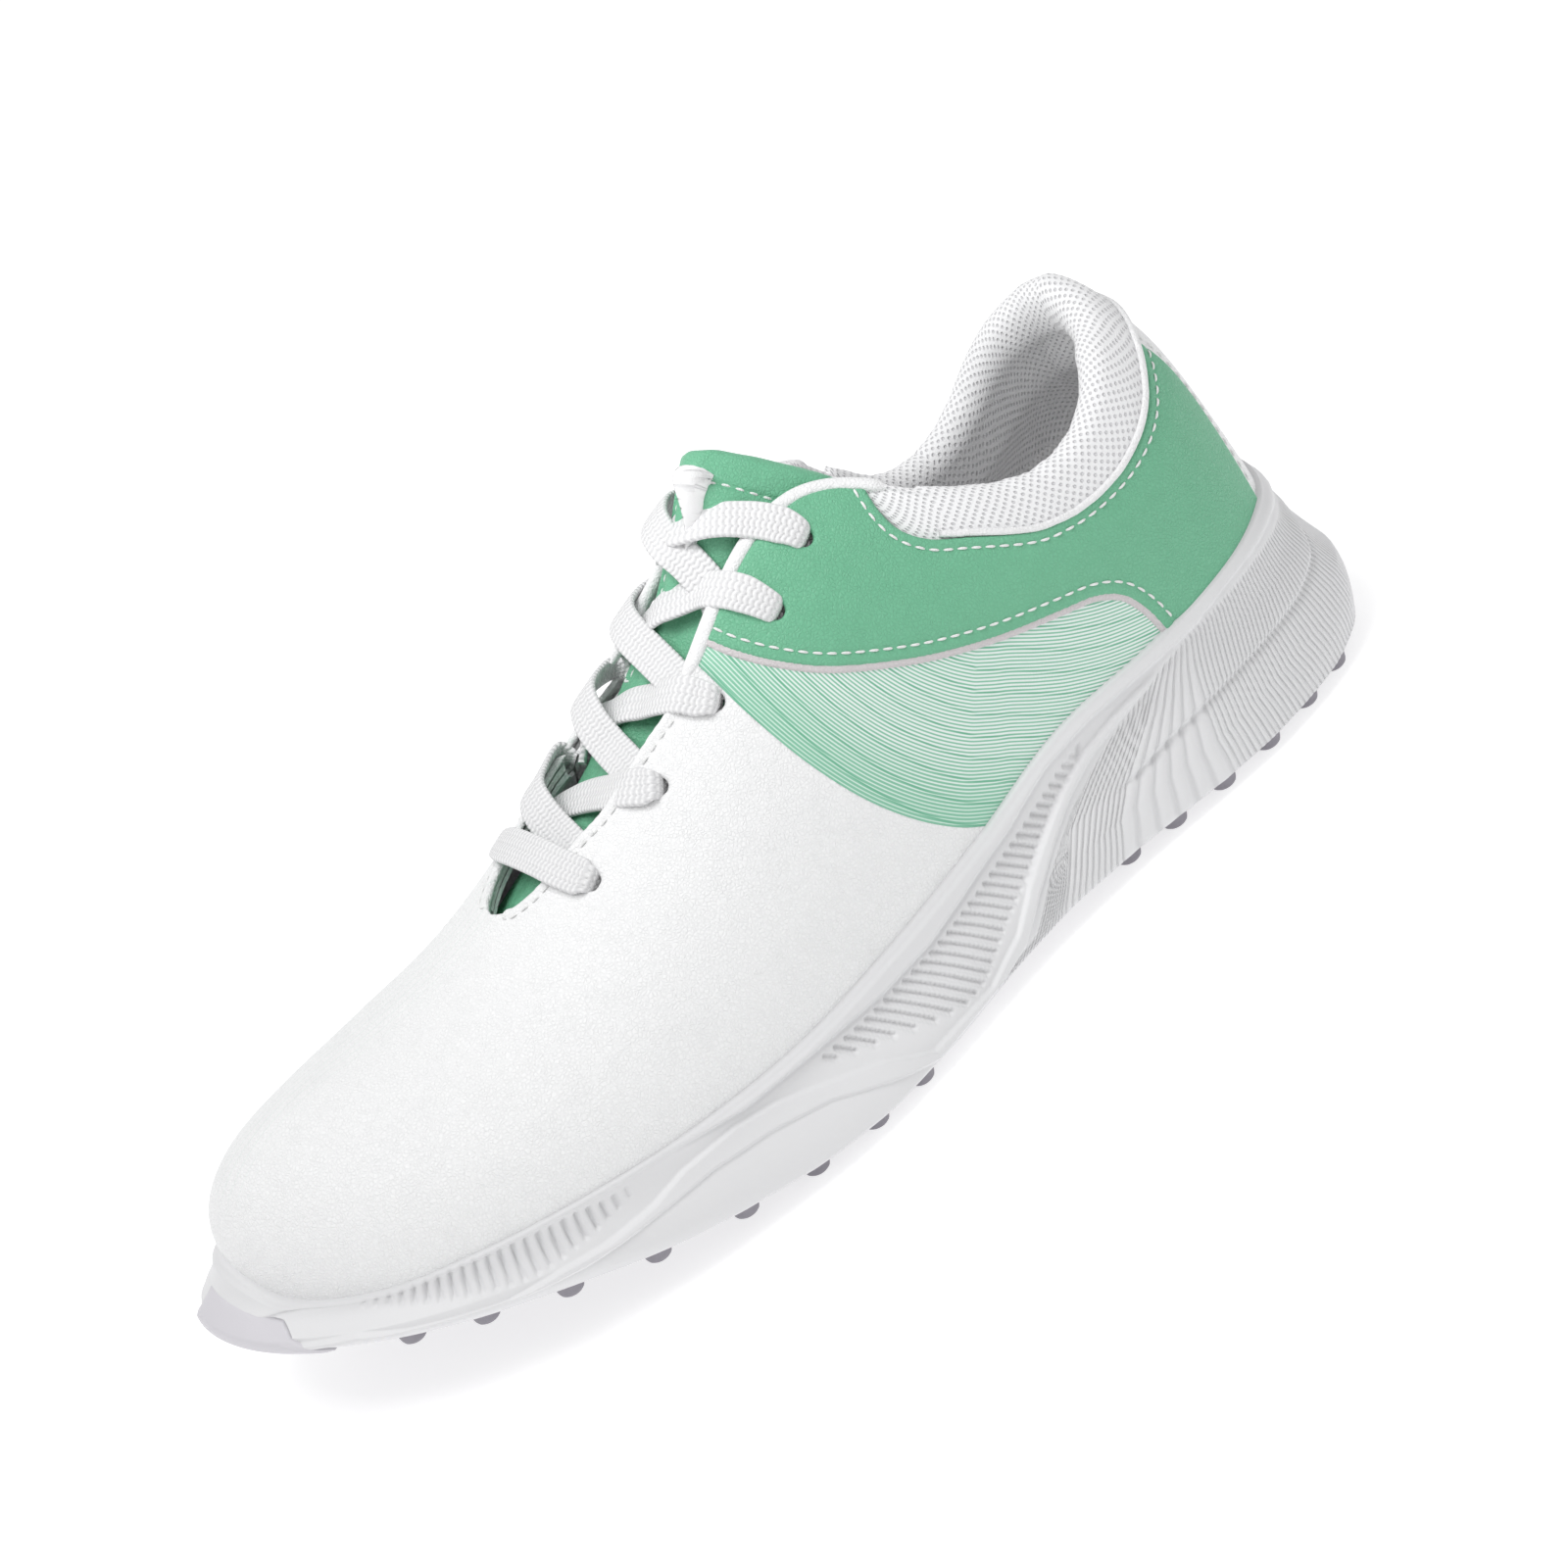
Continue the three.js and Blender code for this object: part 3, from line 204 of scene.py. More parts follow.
def clip(tv, tri, f):
    f = np.where(np.abs(f) < 1e-6, 1e-6, f)
    ins = f > 0; c = ins[tri]; n = c.sum(1)

    def rot(tr, cc, k):
        i = np.argmax(cc == k, 1)
        return tr[np.arange(len(tr))[:, None], (i[:, None] + np.arange(3)) % 3]
    t1 = rot(tri[n == 1], c[n == 1], True); t2 = rot(tri[n == 2], c[n == 2], False)
    E = np.concatenate([t1[:, [0, 1]], t1[:, [0, 2]], t2[:, [0, 1]], t2[:, [0, 2]]])
    u, inv = np.unique(np.sort(E, 1), axis=0, return_inverse=True); inv = inv.reshape(-1)
    w = f[u[:, 0]] / (f[u[:, 0]] - f[u[:, 1]])
    P = tv[u[:, 0]] * (1 - w)[:, None] + tv[u[:, 1]] * w[:, None]
    e = inv + len(tv); a, b = len(t1), len(t2)
    ab1, ac1, ab2, ac2 = e[:a], e[a:2 * a], e[2 * a:2 * a + b], e[2 * a + b:]
    out = np.vstack([tri[n == 3], np.stack([t1[:, 0], ab1, ac1], 1), np.stack([t2[:, 1], t2[:, 2], ac2], 1), np.stack([t2[:, 1], ac2, ab2], 1)])
    tv2 = np.vstack([tv, P]); used, inv = np.unique(out, return_inverse=True)
    return tv2[used], inv.reshape(-1, 3)


def weld(tv, tri, tol=0.02):
    P = surf(tv[:, 0], tv[:, 1])
    _, first, inv = np.unique(np.round(P / tol + 0.137).astype(np.int64), axis=0, return_index=True, return_inverse=True)
    inv = inv.reshape(-1)
    t2 = inv[tri]; ok = (t2[:, 0] != t2[:, 1]) & (t2[:, 1] != t2[:, 2]) & (t2[:, 0] != t2[:, 2])
    return tv[first], t2[ok]


def boundary(tri):
    E = np.concatenate([tri[:, [0, 1]], tri[:, [1, 2]], tri[:, [2, 0]]])
    key = E.min(1).astype(np.int64) * 10000000 + E.max(1)
    _, inv, cnt = np.unique(key, return_inverse=True, return_counts=True)
    return E[cnt[inv.reshape(-1)] == 1]


def kd_of(P):
    kd = kdtree.KDTree(len(P))
    for i, p in enumerate(P):
        kd.insert(p, i)
    kd.balance()
    return kd


def dist_to(kd, P, far=30.0):
    return np.array([min(far, kd.find(p)[2]) for p in P])


def edge_points(P, B, sel):
    """points every 0.12 mm or so along the boundary edges whose two ends are selected"""
    b = B[sel[B[:, 0]] & sel[B[:, 1]]]
    if not len(b):
        return np.zeros((0, 3))
    k = np.linspace(0, 1, 6)[:, None, None]
    return (P[b[:, 0]][None] * (1 - k) + P[b[:, 1]][None] * k).reshape(-1, 3)


def isolines(tv, tri, d, level):
    """ordered lines of tv where d crosses the level"""
    f = d - level; f = np.where(np.abs(f) < 1e-7, 1e-7, f)
    s = f > 0; seg = []
    m = s[tri].sum(1); T = tri[(m == 1) | (m == 2)]
    nxt = {}
    pts = {}
    for a, b, c in T:
        ks = []
        for i, j in ((a, b), (b, c), (c, a)):
            if s[i] != s[j]:
                key = (min(i, j), max(i, j))
                if key not in pts:
                    w = f[key[0]] / (f[key[0]] - f[key[1]])
                    pts[key] = tv[key[0]] * (1 - w) + tv[key[1]] * w
                ks.append(key)
        if len(ks) == 2:
            nxt.setdefault(ks[0], []).append(ks[1]); nxt.setdefault(ks[1], []).append(ks[0])
    seen, lines = set(), []
    for start in sorted(nxt, key=lambda k: (len(nxt[k]), k)):
        if start in seen:
            continue
        line, cur = [start], start; seen.add(start)
        while True:
            go = [k for k in nxt[cur] if k not in seen]
            if not go:
                break
            cur = go[0]; seen.add(cur); line.append(cur)
        if len(line) > 4:
            lines.append(np.array([pts[k] for k in line]))
    return lines


def shell(name, tv, tri, d_out, d_in, mat, body="upper", replaces=(), slot=None, uv=None, attrs=None):
    n = len(tv)
    P = np.vstack([at(tv[:, 0], tv[:, 1], d_out), at(tv[:, 0], tv[:, 1], d_in)])
    B = boundary(tri)
    F = np.vstack([tri, tri[:, ::-1] + n, np.stack([B[:, 1], B[:, 0], B[:, 0] + n], 1), np.stack([B[:, 1], B[:, 0] + n, B[:, 1] + n], 1)])
    if uv is not None:
        uv = np.vstack([uv, uv])
    attrs = {k: np.concatenate([a, a]) for k, a in (attrs or {}).items()}
    return make(name, P, F, mat, body, replaces, slot, uv, attrs)


def patch(t0, t1, v0, v1, step=0.6):
    tl = abs(t1 - t0) * 27.5; vl = 100 * (v1 - v0)
    nt, nv = int(tl / step) + 2, int(vl / step) + 2
    T, V = np.meshgrid(np.linspace(t0, t1, nt), np.linspace(v0, v1, nv), indexing="ij")
    return np.stack([T.ravel(), V.ravel()], 1), grid_tris(nt, nv)[:, ::-1]


class Side:
    """signed distance in a 2D drawing plane to a closed polygon, positive inside"""

    def __init__(self, pts):
        self.p = np.array(pts, float)

    def __call__(self, q):
        a = self.p; b = np.roll(a, -1, 0); best = np.full(len(q), 1e9); ins = np.zeros(len(q), bool)
        for (ax, ay), (bx, by) in zip(a, b):
            dx, dy = bx - ax, by - ay; L = dx * dx + dy * dy
            if L < 1e-12:
                continue
            k = np.clip(((q[:, 0] - ax) * dx + (q[:, 1] - ay) * dy) / L, 0, 1)
            best = np.minimum(best, np.hypot(q[:, 0] - ax - k * dx, q[:, 1] - ay - k * dy))
            c = (ay > q[:, 1]) != (by > q[:, 1])
            if abs(dy) > 1e-12:
                ins ^= c & (q[:, 0] < dx * (q[:, 1] - ay) / dy + ax)
        return np.where(ins, best, -best)


g_top = smooth_curve(GREEN_TOP[1:], 6); g_low = smooth_curve(GREEN_LOW[1:-1], 6); p_front = smooth_curve(PRINT_FRONT[1:], 6)
collar_c = smooth_curve(COLLAR[1:-1], 5); thr = smooth_curve(THROAT, 6); thr[:, 1] = np.maximum(thr[:, 1], 0)
R_ABOVE = Side(np.vstack([[[-60, 87]], g_top, [[93.5, 160], [-60, 160]]]))           # above the green's top edge
R_GREEN = Side(np.vstack([[[141.5, 160]], g_low, [[56.5, -30], [-60, -30], [-60, 160]]]))
R_PRINT = Side(np.vstack([[[146.5, 160]], p_front, [[108, -30], [-60, -30], [-60, 160]]]))
R_COLLAR = Side(np.vstack([[[-60, 92]], collar_c, [[360, 128], [360, -60], [-60, -60]]]))
thr_c = np.vstack([np.column_stack([thr[:, 0], instep_y(thr[:, 0]) - thr[:, 1]]), np.column_stack([thr[:, 0], instep_y(thr[:, 0]) + thr[:, 1]])[::-1]])
R_THROAT = Side(thr_c)


def sz(P):
    return np.column_stack([HALF - P[:, 0], P[:, 2]])


def sy(P):
    return np.column_stack([HALF - P[:, 0], P[:, 1]])


def f_throat(P):  # positive on the leather
    return np.where(P[:, 2] > 45, -R_THROAT(sy(P)), 20.0)


def param_at(x, y):
    lo, hi = 3.0, 12.0
    for _ in range(40):
        m = (lo + hi) / 2
        if ring(COL, m)[3] > x: lo = m
        else: hi = m
    t = lo if y < instep_y(HALF - x) else N - lo; v = 0.7
    for _ in range(40):
        p = surf(t, v); e = 1e-3; pt = (surf(t + e, v) - p) / e; pv = (surf(t, v + e) - p) / e
        det = pt[0] * pv[1] - pt[1] * pv[0]; rx, ry = x - p[0], y - p[1]
        t += float(np.clip((rx * pv[1] - ry * pv[0]) / det, -.3, .3)); v += float(np.clip((pt[0] * ry - pt[1] * rx) / det, -.1, .1)); v = float(np.clip(v, .3, .98))
    return t, v


eyes = []
for s_, y_ in EYELETS:
    t_, v_ = param_at(HALF - s_, y_ + 1.8)
    eyes.append({-1: (t_, v_), 1: (N - t_, v_)})
eye_pts = np.array([surf(*e[k]) for e in eyes for k in (-1, 1)])


def f_eyes(P, r=2.1):
    d = np.min(np.linalg.norm(P[:, None, :] - eye_pts[None], axis=2), axis=1)
    return d - r


# ------------------------------------------------------------------ materials
def node_mat(name, base, rough, **kw):
    m = bpy.data.materials.new(name); m.use_nodes = True
    nt = m.node_tree; b = nt.nodes["Principled BSDF"]
    b.inputs["Base Color"].default_value = (*base, 1); b.inputs["Roughness"].default_value = rough
    for k, v in kw.items():
        b.inputs[k].default_value = v
    return m, nt, b


def nd(nt, kind, **kw):
    n = nt.nodes.new(kind)
    for k, v in kw.items():
        setattr(n, k, v)
    return n


def math_(nt, op, a, b=None, c=None, clamp=False):
    n = nt.nodes.new("ShaderNodeMath"); n.operation = op; n.use_clamp = clamp
    for i, x in enumerate((a, b, c)):
        if x is None:
            continue
        if isinstance(x, (int, float)):
            n.inputs[i].default_value = x
        else:
            nt.links.new(x, n.inputs[i])
    return n.outputs[0]


def ramp(nt, fac, stops):
    n = nt.nodes.new("ShaderNodeValToRGB"); r = n.color_ramp
    while len(r.elements) < len(stops):
        r.elements.new(0.5)
    for e, (p, c) in zip(r.elements, stops):
        e.position = p; e.color = (*c, 1)
    nt.links.new(fac, n.inputs[0])
    return n.outputs[0]


def noise(nt, co, scale, detail=3, rough=0.55):
    n = nt.nodes.new("ShaderNodeTexNoise"); n.inputs["Scale"].default_value = scale
    n.inputs["Detail"].default_value = detail; n.inputs["Roughness"].default_value = rough
    nt.links.new(co, n.inputs["Vector"])
    return n.outputs["Fac"]


def voro(nt, co, scale, feature="DISTANCE_TO_EDGE"):
    n = nt.nodes.new("ShaderNodeTexVoronoi"); n.feature = feature; n.inputs["Scale"].default_value = scale
    nt.links.new(co, n.inputs["Vector"])
    return n.outputs["Distance"]


def coords(nt):
    return nt.nodes.new("ShaderNodeTexCoord").outputs["Object"]


def bump(nt, b, h, strength, dist):
    n = nt.nodes.new("ShaderNodeBump"); n.inputs["Strength"].default_value = strength; n.inputs["Distance"].default_value = dist
    nt.links.new(h, n.inputs["Height"]); nt.links.new(n.outputs[0], b.inputs["Normal"])


def chart(nt):
    u = nt.nodes.new("ShaderNodeUVMap"); u.uv_map = "chart"
    s = nt.nodes.new("ShaderNodeSeparateXYZ"); nt.links.new(u.outputs[0], s.inputs[0])
    return s.outputs[0], s.outputs[1]


def mix(nt, fac, a, b):
    n = nt.nodes.new("ShaderNodeMix"); n.data_type = "RGBA"
    for i, x in ((0, fac), (6, a), (7, b)):
        if isinstance(x, (tuple, list)):
            n.inputs[i].default_value = (*x, 1)
        elif isinstance(x, (int, float)):
            n.inputs[i].default_value = x
        else:
            nt.links.new(x, n.inputs[i])
    return n.outputs[2]


def grain_height(nt, co, cell=1150):
    warp = nd(nt, "ShaderNodeVectorMath", operation="ADD")
    nz = nt.nodes.new("ShaderNodeTexNoise"); nz.inputs["Scale"].default_value = 500; nt.links.new(co, nz.inputs["Vector"])
    sc = nd(nt, "ShaderNodeVectorMath", operation="SCALE"); sc.inputs["Scale"].default_value = 0.0009
    nt.links.new(nz.outputs["Color"], sc.inputs[0]); nt.links.new(co, warp.inputs[0]); nt.links.new(sc.outputs[0], warp.inputs[1])
    e = voro(nt, warp.outputs[0], cell)
    h = math_(nt, "MULTIPLY", math_(nt, "MINIMUM", e, 0.22), 3.5)
    h2 = noise(nt, co, 1700, 3, 0.6)
    h3 = noise(nt, co, 160, 3, 0.5)
    return math_(nt, "ADD", math_(nt, "ADD", math_(nt, "MULTIPLY", h, 0.40), math_(nt, "MULTIPLY", h2, 0.75)), math_(nt, "MULTIPLY", h3, 1.2)), h, h3


def leather(name, base, dark, rough=0.42, faint=None):
    m, nt, b = node_mat(name, base, rough, **{"Specular IOR Level": 0.42})
    co = coords(nt); h, g, big = grain_height(nt, co)
    bump(nt, b, h, 0.62, 0.0005)
    col = mix(nt, math_(nt, "MULTIPLY_ADD", g, -0.5, 0.42, True), base, dark)
    col = mix(nt, math_(nt, "MULTIPLY", math_(nt, "SUBTRACT", big, 0.45, clamp=True), 0.9, clamp=True), col, dark)
    if faint:
        col = faint(nt, col)
    nt.links.new(col, b.inputs["Base Color"])
    nt.links.new(math_(nt, "MULTIPLY_ADD", g, -0.10, rough + 0.06), b.inputs["Roughness"])
    return m


GREEN = (0.172, 0.49, 0.303); GREEN_D = (0.135, 0.42, 0.25); WHITE = (0.895, 0.897, 0.90); WHITE_D = (0.80, 0.803, 0.81)


def faint_lines(nt, col):  # thin contour lines printed on the toe and the medial side, hardly darker than the leather
    u, v = chart(nt)
    w = math_(nt, "SINE", math_(nt, "MULTIPLY", u, 2 * math.pi / 2.6))
    line = math_(nt, "MULTIPLY", math_(nt, "SUBTRACT", w, 0.86, clamp=True), 7.0, clamp=True)
    return mix(nt, math_(nt, "MULTIPLY", math_(nt, "MULTIPLY", line, v), 0.34), col, (0.62, 0.76, 0.69))


def printed():
    m, nt, b = node_mat("printed_leather_mat", WHITE, 0.42, **{"Specular IOR Level": 0.42})
    co = coords(nt); h, g, big = grain_height(nt, co); bump(nt, b, h, 0.22, 0.0003)
    u, v = chart(nt)   # u: mm in from the front edge, v: mm along
    fine = math_(nt, "MULTIPLY_ADD", math_(nt, "SINE", math_(nt, "MULTIPLY", u, 2 * math.pi / 0.78)), 0.5, 0.5)
    duty = math_(nt, "MULTIPLY_ADD", math_(nt, "DIVIDE", u, 16.0, clamp=True), 0.38, 0.12)
    wave = math_(nt, "SINE", math_(nt, "ADD", math_(nt, "MULTIPLY", u, 2 * math.pi / 4.7), math_(nt, "MULTIPLY", v, 2 * math.pi / 60.0)))
    strong = math_(nt, "MULTIPLY", math_(nt, "SUBTRACT", wave, 0.86, clamp=True), 7.0, clamp=True)
    duty2 = math_(nt, "MULTIPLY_ADD", strong, -0.25, duty)
    line = math_(nt, "MULTIPLY", math_(nt, "SUBTRACT", fine, duty2), 5.0, clamp=True)
    pale = mix(nt, math_(nt, "DIVIDE", u, 14.0, clamp=True), (0.58, 0.77, 0.67), (0.77, 0.84, 0.81))
    ink = mix(nt, strong, (0.23, 0.53, 0.37), (0.15, 0.45, 0.29))
    nt.links.new(mix(nt, line, pale, ink), b.inputs["Base Color"])
    return m


def mesh_fabric(name, pitch=2.1, base=(0.86, 0.86, 0.87), hole_shade=(0.60, 0.60, 0.62), depth=0.0005):
    m, nt, b = node_mat(name, base, 0.8, **{"Sheen Weight": 0.25, "Sheen Roughness": 0.5, "Specular IOR Level": 0.25})
    u, v = chart(nt); k = 2 * math.pi / pitch
    a = math_(nt, "COSINE", math_(nt, "MULTIPLY", u, k)); c = math_(nt, "COSINE", math_(nt, "MULTIPLY", v, k))
    p = math_(nt, "MULTIPLY", a, c)
    holes = math_(nt, "MULTIPLY", math_(nt, "SUBTRACT", p, 0.28, clamp=True), 1.7, clamp=True)
    yarn = noise(nt, coords(nt), 2600, 2, 0.6)
    # the holes are real openings; their darker colour is painted shade inside them, laid over the bump
    nt.links.new(mix(nt, math_(nt, "MULTIPLY", holes, 0.75), base, hole_shade), b.inputs["Base Color"])
    bump(nt, b, math_(nt, "ADD", math_(nt, "MULTIPLY", holes, -1.0), math_(nt, "MULTIPLY", yarn, 0.35)), 0.75, depth)
    return m


def lace_mat():
    m, nt, b = node_mat("lace_webbing_mat", (0.87, 0.87, 0.875), 0.72, **{"Sheen Weight": 0.3, "Specular IOR Level": 0.25})
    u, v = chart(nt)  # u along, v across from -1 to 1
    av = math_(nt, "ABSOLUTE", math_(nt, "SINE", math_(nt, "MULTIPLY", v, math.pi * 2.0)))
    ph = math_(nt, "ADD", math_(nt, "MULTIPLY", u, 2 * math.pi / 1.25), math_(nt, "MULTIPLY", av, 2.6))
    w = math_(nt, "MULTIPLY_ADD", math_(nt, "SINE", ph), 0.5, 0.5)
    col2 = math_(nt, "MULTIPLY_ADD", math_(nt, "COSINE", math_(nt, "MULTIPLY", v, math.pi * 8.0)), 0.5, 0.5)
    h = math_(nt, "ADD", math_(nt, "MULTIPLY", w, math_(nt, "MULTIPLY_ADD", col2, 0.5, 0.5)), math_(nt, "MULTIPLY", noise(nt, coords(nt), 2400, 2, .6), 0.5))
    # the weave's troughs are painted darker than its ridges: painted shade in the weave, laid over the bump
    nt.links.new(mix(nt, w, (0.68, 0.68, 0.69), (0.87, 0.87, 0.875)), b.inputs["Base Color"])
    bump(nt, b, h, 0.7, 0.00042)
    return m


def foam(name, base, dark, rough=0.5, strength=0.12):
    m, nt, b = node_mat(name, base, rough, **{"Specular IOR Level": 0.4})
    co = coords(nt); n1 = noise(nt, co, 2200, 2, .5); n2 = noise(nt, co, 60, 3, .5)
    bump(nt, b, n1, strength, 0.0003)
    nt.links.new(mix(nt, math_(nt, "MULTIPLY", n2, 0.5), base, dark), b.inputs["Base Color"])
    nt.links.new(math_(nt, "MULTIPLY_ADD", n1, 0.12, rough - 0.06), b.inputs["Roughness"])
    return m


def knit(name, base, dark, scale=900, rough=0.85):
    m, nt, b = node_mat(name, base, rough, **{"Sheen Weight": 0.2})
    co = coords(nt); v = voro(nt, co, scale, "F1"); n = noise(nt, co, 1900, 3, .6)
    nt.links.new(mix(nt, v, base, dark), b.inputs["Base Color"]); bump(nt, b, math_(nt, "ADD", v, math_(nt, "MULTIPLY", n, .5)), 0.5, 0.0004)
    return m


M_WHITE = leather("white_leather_mat", WHITE, WHITE_D)
M_VAMP = leather("vamp_leather_mat", WHITE, WHITE_D, faint=faint_lines)
M_GREEN = leather("green_leather_mat", GREEN, GREEN_D, 0.40)
M_PRINT = printed()
M_MESH = mesh_fabric("collar_mesh_mat")
M_LININGMESH = mesh_fabric("lining_mesh_mat", 1.9, (0.93, 0.93, 0.935), (0.80, 0.80, 0.81), 0.0004)
M_LACE = lace_mat()
M_FOAM, nt_, b_ = node_mat("midsole_foam_mat", (0.80, 0.80, 0.81), 0.46, **{"Specular IOR Level": 0.4})
# rib grooves: one mask sinks them by bump and also paints them darker, a painted shade in the grooves on plain white
# foam
u_, v_ = chart(nt_); groove_bump_and_shade = math_(nt_, "MULTIPLY_ADD", math_(nt_, "COSINE", math_(nt_, "MULTIPLY", u_, 2 * math.pi)), -0.5, 0.5)
groove_bump_and_shade = math_(nt_, "MULTIPLY", math_(nt_, "POWER", groove_bump_and_shade, 6.0), v_); n_ = noise(nt_, coords(nt_), 2200, 2, .5)
nt_.links.new(mix(nt_, math_(nt_, "MULTIPLY", groove_bump_and_shade, 0.5), (0.74, 0.74, 0.75), (0.58, 0.58, 0.595)), b_.inputs["Base Color"])
bump(nt_, b_, math_(nt_, "ADD", math_(nt_, "MULTIPLY", groove_bump_and_shade, -1.0), math_(nt_, "MULTIPLY", n_, 0.12)), 0.55, 0.0005)
M_RUBBER = foam("outsole_rubber_mat", (0.275, 0.262, 0.295), (0.22, 0.21, 0.24), 0.55, 0.2)
M_WRAP = foam("toe_wrap_mat", (0.66, 0.645, 0.68), (0.60, 0.59, 0.625), 0.5, 0.1)
M_THREAD = knit("thread_mat", (0.88, 0.885, 0.88), (0.80, 0.81, 0.80), 2600)
M_BIND = leather("binding_mat", (0.88, 0.88, 0.885), (0.82, 0.82, 0.83), 0.5)
M_EDGE = leather("folded_edge_mat", (0.66, 0.62, 0.63), (0.58, 0.55, 0.56), 0.55)
M_STIFF = knit("stiffener_mat", (0.62, 0.58, 0.50), (0.52, 0.48, 0.42), 700)
M_WEB = knit("eyestay_web_mat", (0.78, 0.78, 0.78), (0.66, 0.66, 0.66), 1200)
M_BOARD = knit("strobel_board_mat", (0.66, 0.62, 0.55), (0.55, 0.52, 0.46), 500)
M_SOCK = knit("sockliner_mat", (0.78, 0.78, 0.79), (0.68, 0.68, 0.70), 800)
M_FOAMY = knit("tongue_foam_mat", (0.80, 0.79, 0.74), (0.70, 0.69, 0.64), 600)
for node, mat in (("strobel_board", M_BOARD), ("heel_counter", M_STIFF), ("toe_puff", M_STIFF), ("eyestay_lateral", M_WEB),
                  ("eyestay_medial", M_WEB), ("vamp_lining", M_LININGMESH)):
    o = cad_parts[node]
    o.data.materials.clear(); o.data.materials.append(mat)
    if mat is M_LININGMESH:
        o.data.materials[0] = knit("vamp_lining_mat", (0.80, 0.80, 0.81), (0.70, 0.70, 0.72), 1000)

# ------------------------------------------------------------------ upper panels
STITCHES = []            # (3D path, normals) in mm, one per sewn row


def add_stitches(tv, tri, d, level, keep=None, out=0.0):
    for line in isolines(tv, tri, d, level):
        P = at(line[:, 0], line[:, 1], -out * np.ones(len(line))); Nn = outward(line[:, 0], line[:, 1])
        if keep is not None:
            k = keep(P)
            runs = np.split(np.arange(len(P)), np.flatnonzero(np.diff(k.astype(int))) + 1)
            for r in runs:
                if len(r) > 6 and k[r[0]]:
                    STITCHES.append((P[r], Nn[r]))
        else:
            STITCHES.append((P, Nn))


def roll(d, r):
    x = np.clip(d / r, 0, 1)
    return r * (1 - np.sqrt(np.clip(1 - (1 - x) ** 2, 0, 1)))


# vamp
tv, tri = patch(4.2, 22.8, 0.0, 1.0, 0.85)
for fn in (lambda P: -R_PRINT(sz(P)), f_throat, lambda P: f_eyes(P)):
    tv, tri = clip(tv, tri, fn(surf(tv[:, 0], tv[:, 1])))
tv, tri = weld(tv, tri)
P0 = surf(tv[:, 0], tv[:, 1]); B = boundary(tri)
thr_sel = (np.abs(f_throat(P0)) < 0.12) & (P0[:, 0] > HALF - 203)
eye_sel = np.abs(f_eyes(P0)) < 0.15
kd_t = kd_of(edge_points(P0, B, thr_sel)); kd_e = kd_of(edge_points(P0, B, eye_sel))
dt, de = dist_to(kd_t, P0), dist_to(kd_e, P0, 8)
pull = -0.5 * np.exp(-(de / 3.5) ** 2) * 0
d_out = 0.9 * roll(dt, 0.9) / 0.9 + 0.8 * roll(de, 0.8) / 0.8 + 0.22 * np.exp(-((dt - 2.7) / 0.5) ** 2) - 0.25 * sst(3.2, 1.2, dt)
off_c = P0[:, 1] - instep_y(HALF - P0[:, 0])
vamp_uv = np.column_stack([off_c + 0.10 * P0[:, 0] + 0.0012 * (P0[:, 0] + 60) ** 2, np.clip(sst(-9, 5, off_c) * sst(0.25, 0.55, tv[:, 1]) * sst(60, 20, P0[:, 0]), 0, 1)])
shell("vamp_upper", tv, tri, d_out, np.full(len(tv), 1.35), M_VAMP, replaces=("vamp",), slot="white_leather", uv=vamp_uv)
add_stitches(tv, tri, dt, 2.7, keep=lambda P: P[:, 0] < HALF - 141)

# printed quarters: run on under the overlay
a_front = np.vstack([p_front[:-3], smooth_curve([p_front[-3], (104, 21.5), (95, 16), (82, 10), (66, 5), (48, 2), (28, 0)], 6)])
for sgn, nm in ((-1, "lateral"), (1, "medial")):
    t0, t1 = (3.2, 7.3) if sgn < 0 else (N - 7.3, N - 3.2)
    tv, tri = patch(t0, t1, 0.0, 0.86, 0.8)
    for fn in (lambda P: R_PRINT(sz(P)), lambda P: -R_GREEN(sz(P)) + 4.5, lambda P: R_COLLAR(sz(P)) - 6):
        tv, tri = clip(tv, tri, fn(surf(tv[:, 0], tv[:, 1])))
    tv, tri = clip(tv, tri, f_throat(surf(tv[:, 0], tv[:, 1])))
    tv, tri = weld(tv, tri); P0 = surf(tv[:, 0], tv[:, 1])
    q = sz(P0); kd = kdtree.KDTree(len(a_front))
    seg = []
    best = np.full(len(q), 1e9); along = np.zeros(len(q)); run = 0.0
    for (ax, ay), (bx, by) in zip(a_front[:-1], a_front[1:]):
        L = math.hypot(bx - ax, by - ay); k = np.clip(((q[:, 0] - ax) * (bx - ax) + (q[:, 1] - ay) * (by - ay)) / (L * L), 0, 1)
        dd = np.hypot(q[:, 0] - ax - k * (bx - ax), q[:, 1] - ay - k * (by - ay)); m = dd < best
        best = np.where(m, dd, best); along = np.where(m, run + k * L, along); run += L
    shell("quarter_print_" + nm, tv, tri, np.zeros(len(tv)), np.full(len(tv), 1.3), M_PRINT, replaces=("quarter_" + nm,), slot="printed_leather", uv=np.column_stack([best, along]))


def stay_half(z):
    return np.interp(z, [36, 60, 88], [23.0, 19.8, 15.2])


